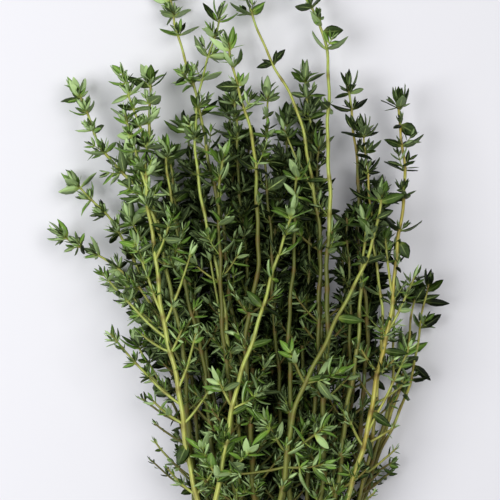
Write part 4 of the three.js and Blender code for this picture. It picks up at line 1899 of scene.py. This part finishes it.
@dataclass
class SprigMaker:
    """Turns grown sprigs into pieces."""

    leaf_finish: bpy.types.Material  # The leaves' material
    stem_finish: bpy.types.Material  # The stems' material
    look: StemLook = StemLook()  # How stems run and what their surface is like
    corners: int = 8  # How many corners a stem's section has
    twig_corners: int = 4  # How many corners a twig's section has
    squareness: float = 0.22  # How far a stem's sides are flattened between its four edges
    tilt: float = 0.1  # The largest random turn of a leaf, in radians
    leaf_rest: float = 0.15  # How high over the surface leaves are pressed, in millimetres
    stem_softness: float = 0.12  # Over what height stems are pressed
    leaf_softness: float = 0.8  # Over what height leaves are pressed

    def __post_init__(self) -> None:
        """Builds the groups and the leaf shapes."""
        self.stem_sweep = StemSweep()
        self.leaf_scatter = LeafScatter()
        self.shapes = bpy.data.collections.new("leaf_shapes")
        bpy.context.scene.collection.children.link(self.shapes)
        for kind, shape in LEAF_SHAPES.items():
            self.shapes.objects.link(shape.build(f"leaf_{kind.value:02d}"))

    @staticmethod
    def _linked(mesh: bpy.types.Mesh, name: str) -> bpy.types.Object:
        """Puts a mesh in the scene.

        Args:
            mesh: The mesh.
            name: The name of its object.

        Returns:
            Its object.
        """
        made = bpy.data.objects.new(name, mesh)
        bpy.context.scene.collection.objects.link(made)
        return made

    def _stem_line(self, sprig: Sprig, stem: Stem) -> list[dict[str, Any]]:
        """Lists a stem's centre line, with what its surface looks like at each point.

        Args:
            sprig: Its sprig.
            stem: The stem or shoot.

        Returns:
            The points from the foot on.
        """
        look, chance, length = self.look, sprig.chance, stem.route.length
        is_older = stem.at(0.0)[0].x > look.older_from
        phase = chance.uniform(0, 2 * math.pi)
        stoutness = 1.0 if sprig.plan.layer >= Layer.TOP else chance.uniform(*look.slender)
        gold = look.gold[1 if is_older else 0] * chance.random() ** look.gold_rarity
        blush = chance.random() ** 2 * look.blush + (look.older_blush if is_older else 0.0)
        part = 1.0 if stem.is_main else look.shoot
        rows = []
        for mark in look.marks(stem):
            share = mark / length
            point, along = stem.at(share)
            near = min(abs(length - mark - rest) for rest in stem.joints)
            joint = math.exp(-((near / look.joint) ** 2))
            rows.append(
                {
                    "point": point + along.cross(UP) * look.sway(mark, phase) * part,
                    "thickness": stem.half_width(share) * stoutness * (1.0 + look.swelling * joint),
                    "joint": joint,
                    # Painted light and shade along the stem
                    "tone": look.tone(sprig, point),
                    "gold": gold * part,
                    "youth": share if stem.is_main else look.shoot_youth.at(share),
                    "blush": blush * part,
                    "cut": float(stem.is_main and mark == 0.0),
                    "twig": 0.0,
                }
            )
        return rows

    @staticmethod
    def _twig_line(sprig: Sprig, twig: Twig) -> list[dict[str, Any]]:
        """Lists a twig's centre line, like a stem's.

        Args:
            sprig: Its sprig.
            twig: The twig.

        Returns:
            The points from the foot on.
        """
        look = dict.fromkeys(("joint", "gold", "blush", "cut"), 0.0)
        # Twigs take their sprig's painted light
        look |= {"tone": sprig.tone, "youth": 1.0, "twig": 1.0}
        sizes = (TWIG.foot, (TWIG.foot + TWIG.tip) / 2, TWIG.tip)
        points = (twig.foot, twig.bend, twig.tip)
        return [{"point": point, "thickness": size, **look} for point, size in zip(points, sizes)]

    def stems(self, sprig: Sprig) -> bpy.types.Object:
        """Builds the sprig's stems.

        Args:
            sprig: The sprig.

        Returns:
            The piece.
        """
        lines = CentreLines()
        for stem in (sprig.stem, *sprig.shoots):
            lines.add(self._stem_line(sprig, stem))
        for twig in sprig.twigs:
            lines.add(self._twig_line(sprig, twig))
        mesh = self.stem_sweep.run(
            self._linked(lines.mesh(), "centre_lines"),
            Corners=self.corners,
            Twig_corners=self.twig_corners,
            Squareness=self.squareness,
            Pressed_to=0.0,
            Softness=self.stem_softness * MM,
            Finish=self.stem_finish,
        )
        return self._piece(mesh, sprig, "stems")

    def leaves(self, sprig: Sprig) -> bpy.types.Object:
        """Builds the sprig's leaves.

        Args:
            sprig: The sprig.

        Returns:
            The piece.
        """
        mesh = bpy.data.meshes.new("leaf_points")
        mesh.from_pydata([leaf.point * MM for leaf in sprig.leaves], [], [])
        turns: list[float] = []
        sizes: list[float] = []
        for leaf in sprig.leaves:
            right = leaf.direction.cross(leaf.face)
            turns += Matrix((right, leaf.direction, leaf.face)).transposed().to_euler()
            sizes += (leaf.length * leaf.breadth * MM, leaf.length * MM, leaf.length * MM)
        store(mesh, "turn", turns, "FLOAT_VECTOR")
        store(mesh, "size", sizes, "FLOAT_VECTOR")
        store(mesh, "kind", [leaf.kind.value for leaf in sprig.leaves], "INT")
        # The painted light and shade of each leaf
        store(mesh, "tone", [leaf.tone for leaf in sprig.leaves])
        store(mesh, "youth", [leaf.youth for leaf in sprig.leaves])
        made = self.leaf_scatter.run(
            self._linked(mesh, "leaf_points"),
            Shapes=self.shapes,
            Tilt=self.tilt,
            Seed=sprig.number,
            Pressed_to=self.leaf_rest * MM,
            Softness=self.leaf_softness * MM,
            Finish=self.leaf_finish,
        )
        return self._piece(made, sprig, "leaves")

    def _piece(self, mesh: bpy.types.Mesh, sprig: Sprig, part: str) -> bpy.types.Object:
        """Makes a mesh a piece of the bundle, in place of its sprig's CAD node.

        Args:
            mesh: The mesh.
            sprig: Its sprig.
            part: What it is of the sprig.

        Returns:
            The piece.
        """
        mesh.name = f"{sprig.node}_{part}"
        for name in ("turn", "size", "kind", "thickness", "twig"):
            if name in mesh.attributes:
                mesh.attributes.remove(mesh.attributes[name])
        piece = self._linked(mesh, mesh.name)
        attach(piece, "root")
        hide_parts(sprig.node)
        return piece

    def remove_shapes(self) -> None:
        """Removes the leaf shapes from the scene."""
        for shape in list(self.shapes.objects):
            bpy.data.objects.remove(shape)
        bpy.data.collections.remove(self.shapes)


# ---- Bundle and studio -----------------------------------


@dataclass
class Bundle:
    """The whole bundle."""

    leaf_finish: LeafFinish = field(default_factory=LeafFinish)  # The look of its leaves
    stem_finish: StemFinish = field(default_factory=StemFinish)  # The look of its stems

    def build(self) -> None:
        """Builds every sprig's pieces."""
        maker = SprigMaker(self.leaf_finish.material(), self.stem_finish.material())
        total = 0
        for number, plan in enumerate(SPRIGS):
            sprig = Sprig(number, plan)
            for piece in (maker.stems(sprig), maker.leaves(sprig)):
                faces = sum(len(face.vertices) - 2 for face in piece.data.polygons)
                total += faces
                LOG.info("%s: %d triangles", piece.name, faces)
            LOG.info("%s: %d shoots, %d leaves", sprig.node, len(sprig.shoots), len(sprig.leaves))
        maker.remove_shapes()
        LOG.info("bundle: %d triangles", total)


@dataclass(frozen=True)
class Lamp:
    """A square light that faces the bundle. Metres and watts."""

    place: tuple[float, float, float]  # Where it is
    size: float  # Its side
    power: float  # Its power
    tint: tuple[float, float, float]  # Its colour

    def build(self, name: str) -> None:
        """Adds the light.

        Args:
            name: Its name.
        """
        lamp = bpy.data.lights.new(name, "AREA")
        lamp.size = self.size
        lamp.energy = self.power
        lamp.color = self.tint
        light = bpy.data.objects.new(name, lamp)
        light.location = self.place
        light.rotation_euler = (-Vector(self.place)).to_track_quat("-Z", "Y").to_euler()
        bpy.context.scene.collection.objects.link(light)


@dataclass(frozen=True)
class Studio:
    """A pale floor, soft light from the right, and a camera straight above. Metres and watts."""

    view_width: float = 0.18  # How much of the surface the camera sees
    camera_height: float = 0.75  # How high the camera is
    subject_height: float = 0.016  # The height at which the view is that wide
    floor_size: float = 4.0  # The side of the floor
    window: Lamp = Lamp((0.5, 0.3, 1.15), 0.85, 8.7, (1.0, 0.99, 0.96))  # The large light from the right
    # The weak light from the left
    reflector: Lamp = Lamp((-0.54, 0.0, 0.66), 0.55, 5.4, (1.0, 1.0, 1.0))
    sky: float = 0.2  # The strength of the light from all round
    sky_tint: Colour = (0.94, 0.95, 1.0, 1.0)  # Its colour
    sensor: float = 36.0  # The width of the camera's sensor, in millimetres

    def build(self) -> None:
        """Builds the floor, the lights and the camera."""
        self._floor()
        self.window.build("window")
        self.reflector.build("reflector")
        world = bpy.data.worlds.new("sky")
        world.use_nodes = True
        background = world.node_tree.nodes["Background"]
        background.inputs["Color"].default_value = self.sky_tint
        background.inputs["Strength"].default_value = self.sky
        bpy.context.scene.world = world
        bpy.context.scene.view_settings.view_transform = "Standard"
        self._camera()

    def _floor(self) -> None:
        """Builds the floor."""
        half = self.floor_size / 2
        corners = [(-half, -half, 0), (half, -half, 0), (half, half, 0), (-half, half, 0)]
        mesh = bpy.data.meshes.new("floor")
        mesh.from_pydata([Vector(corner) + UP * CAD_BOX[0].z for corner in corners], [], [(0, 1, 2, 3)])
        mesh.materials.append(FloorFinish().material())
        floor = bpy.data.objects.new("floor", mesh)
        bpy.context.scene.collection.objects.link(floor)
        floor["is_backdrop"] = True

    def _camera(self) -> None:
        """Adds the camera, straight above the origin with +Y up in its view."""
        lens = bpy.data.cameras.new("camera")
        lens.sensor_width = self.sensor
        lens.lens = self.sensor * (self.camera_height - self.subject_height) / self.view_width
        camera = bpy.data.objects.new("camera", lens)
        camera.location = (0.0, 0.0, self.camera_height)
        bpy.context.scene.collection.objects.link(camera)
        bpy.context.scene.camera = camera


def write_sizes() -> None:
    """Measures the frame's box and the visual model's box, and keeps neither."""
    boxes = {"cad": CAD_BOX, "visual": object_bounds()}
    {name: [list(corner) for corner in box] for name, box in boxes.items()}


def main() -> None:
    """Builds the bundle and its studio."""
    logging.basicConfig(level=logging.INFO, format="%(message)s")
    Bundle().build()
    Studio().build()
    write_sizes()


if __name__ == "__main__":
    main()
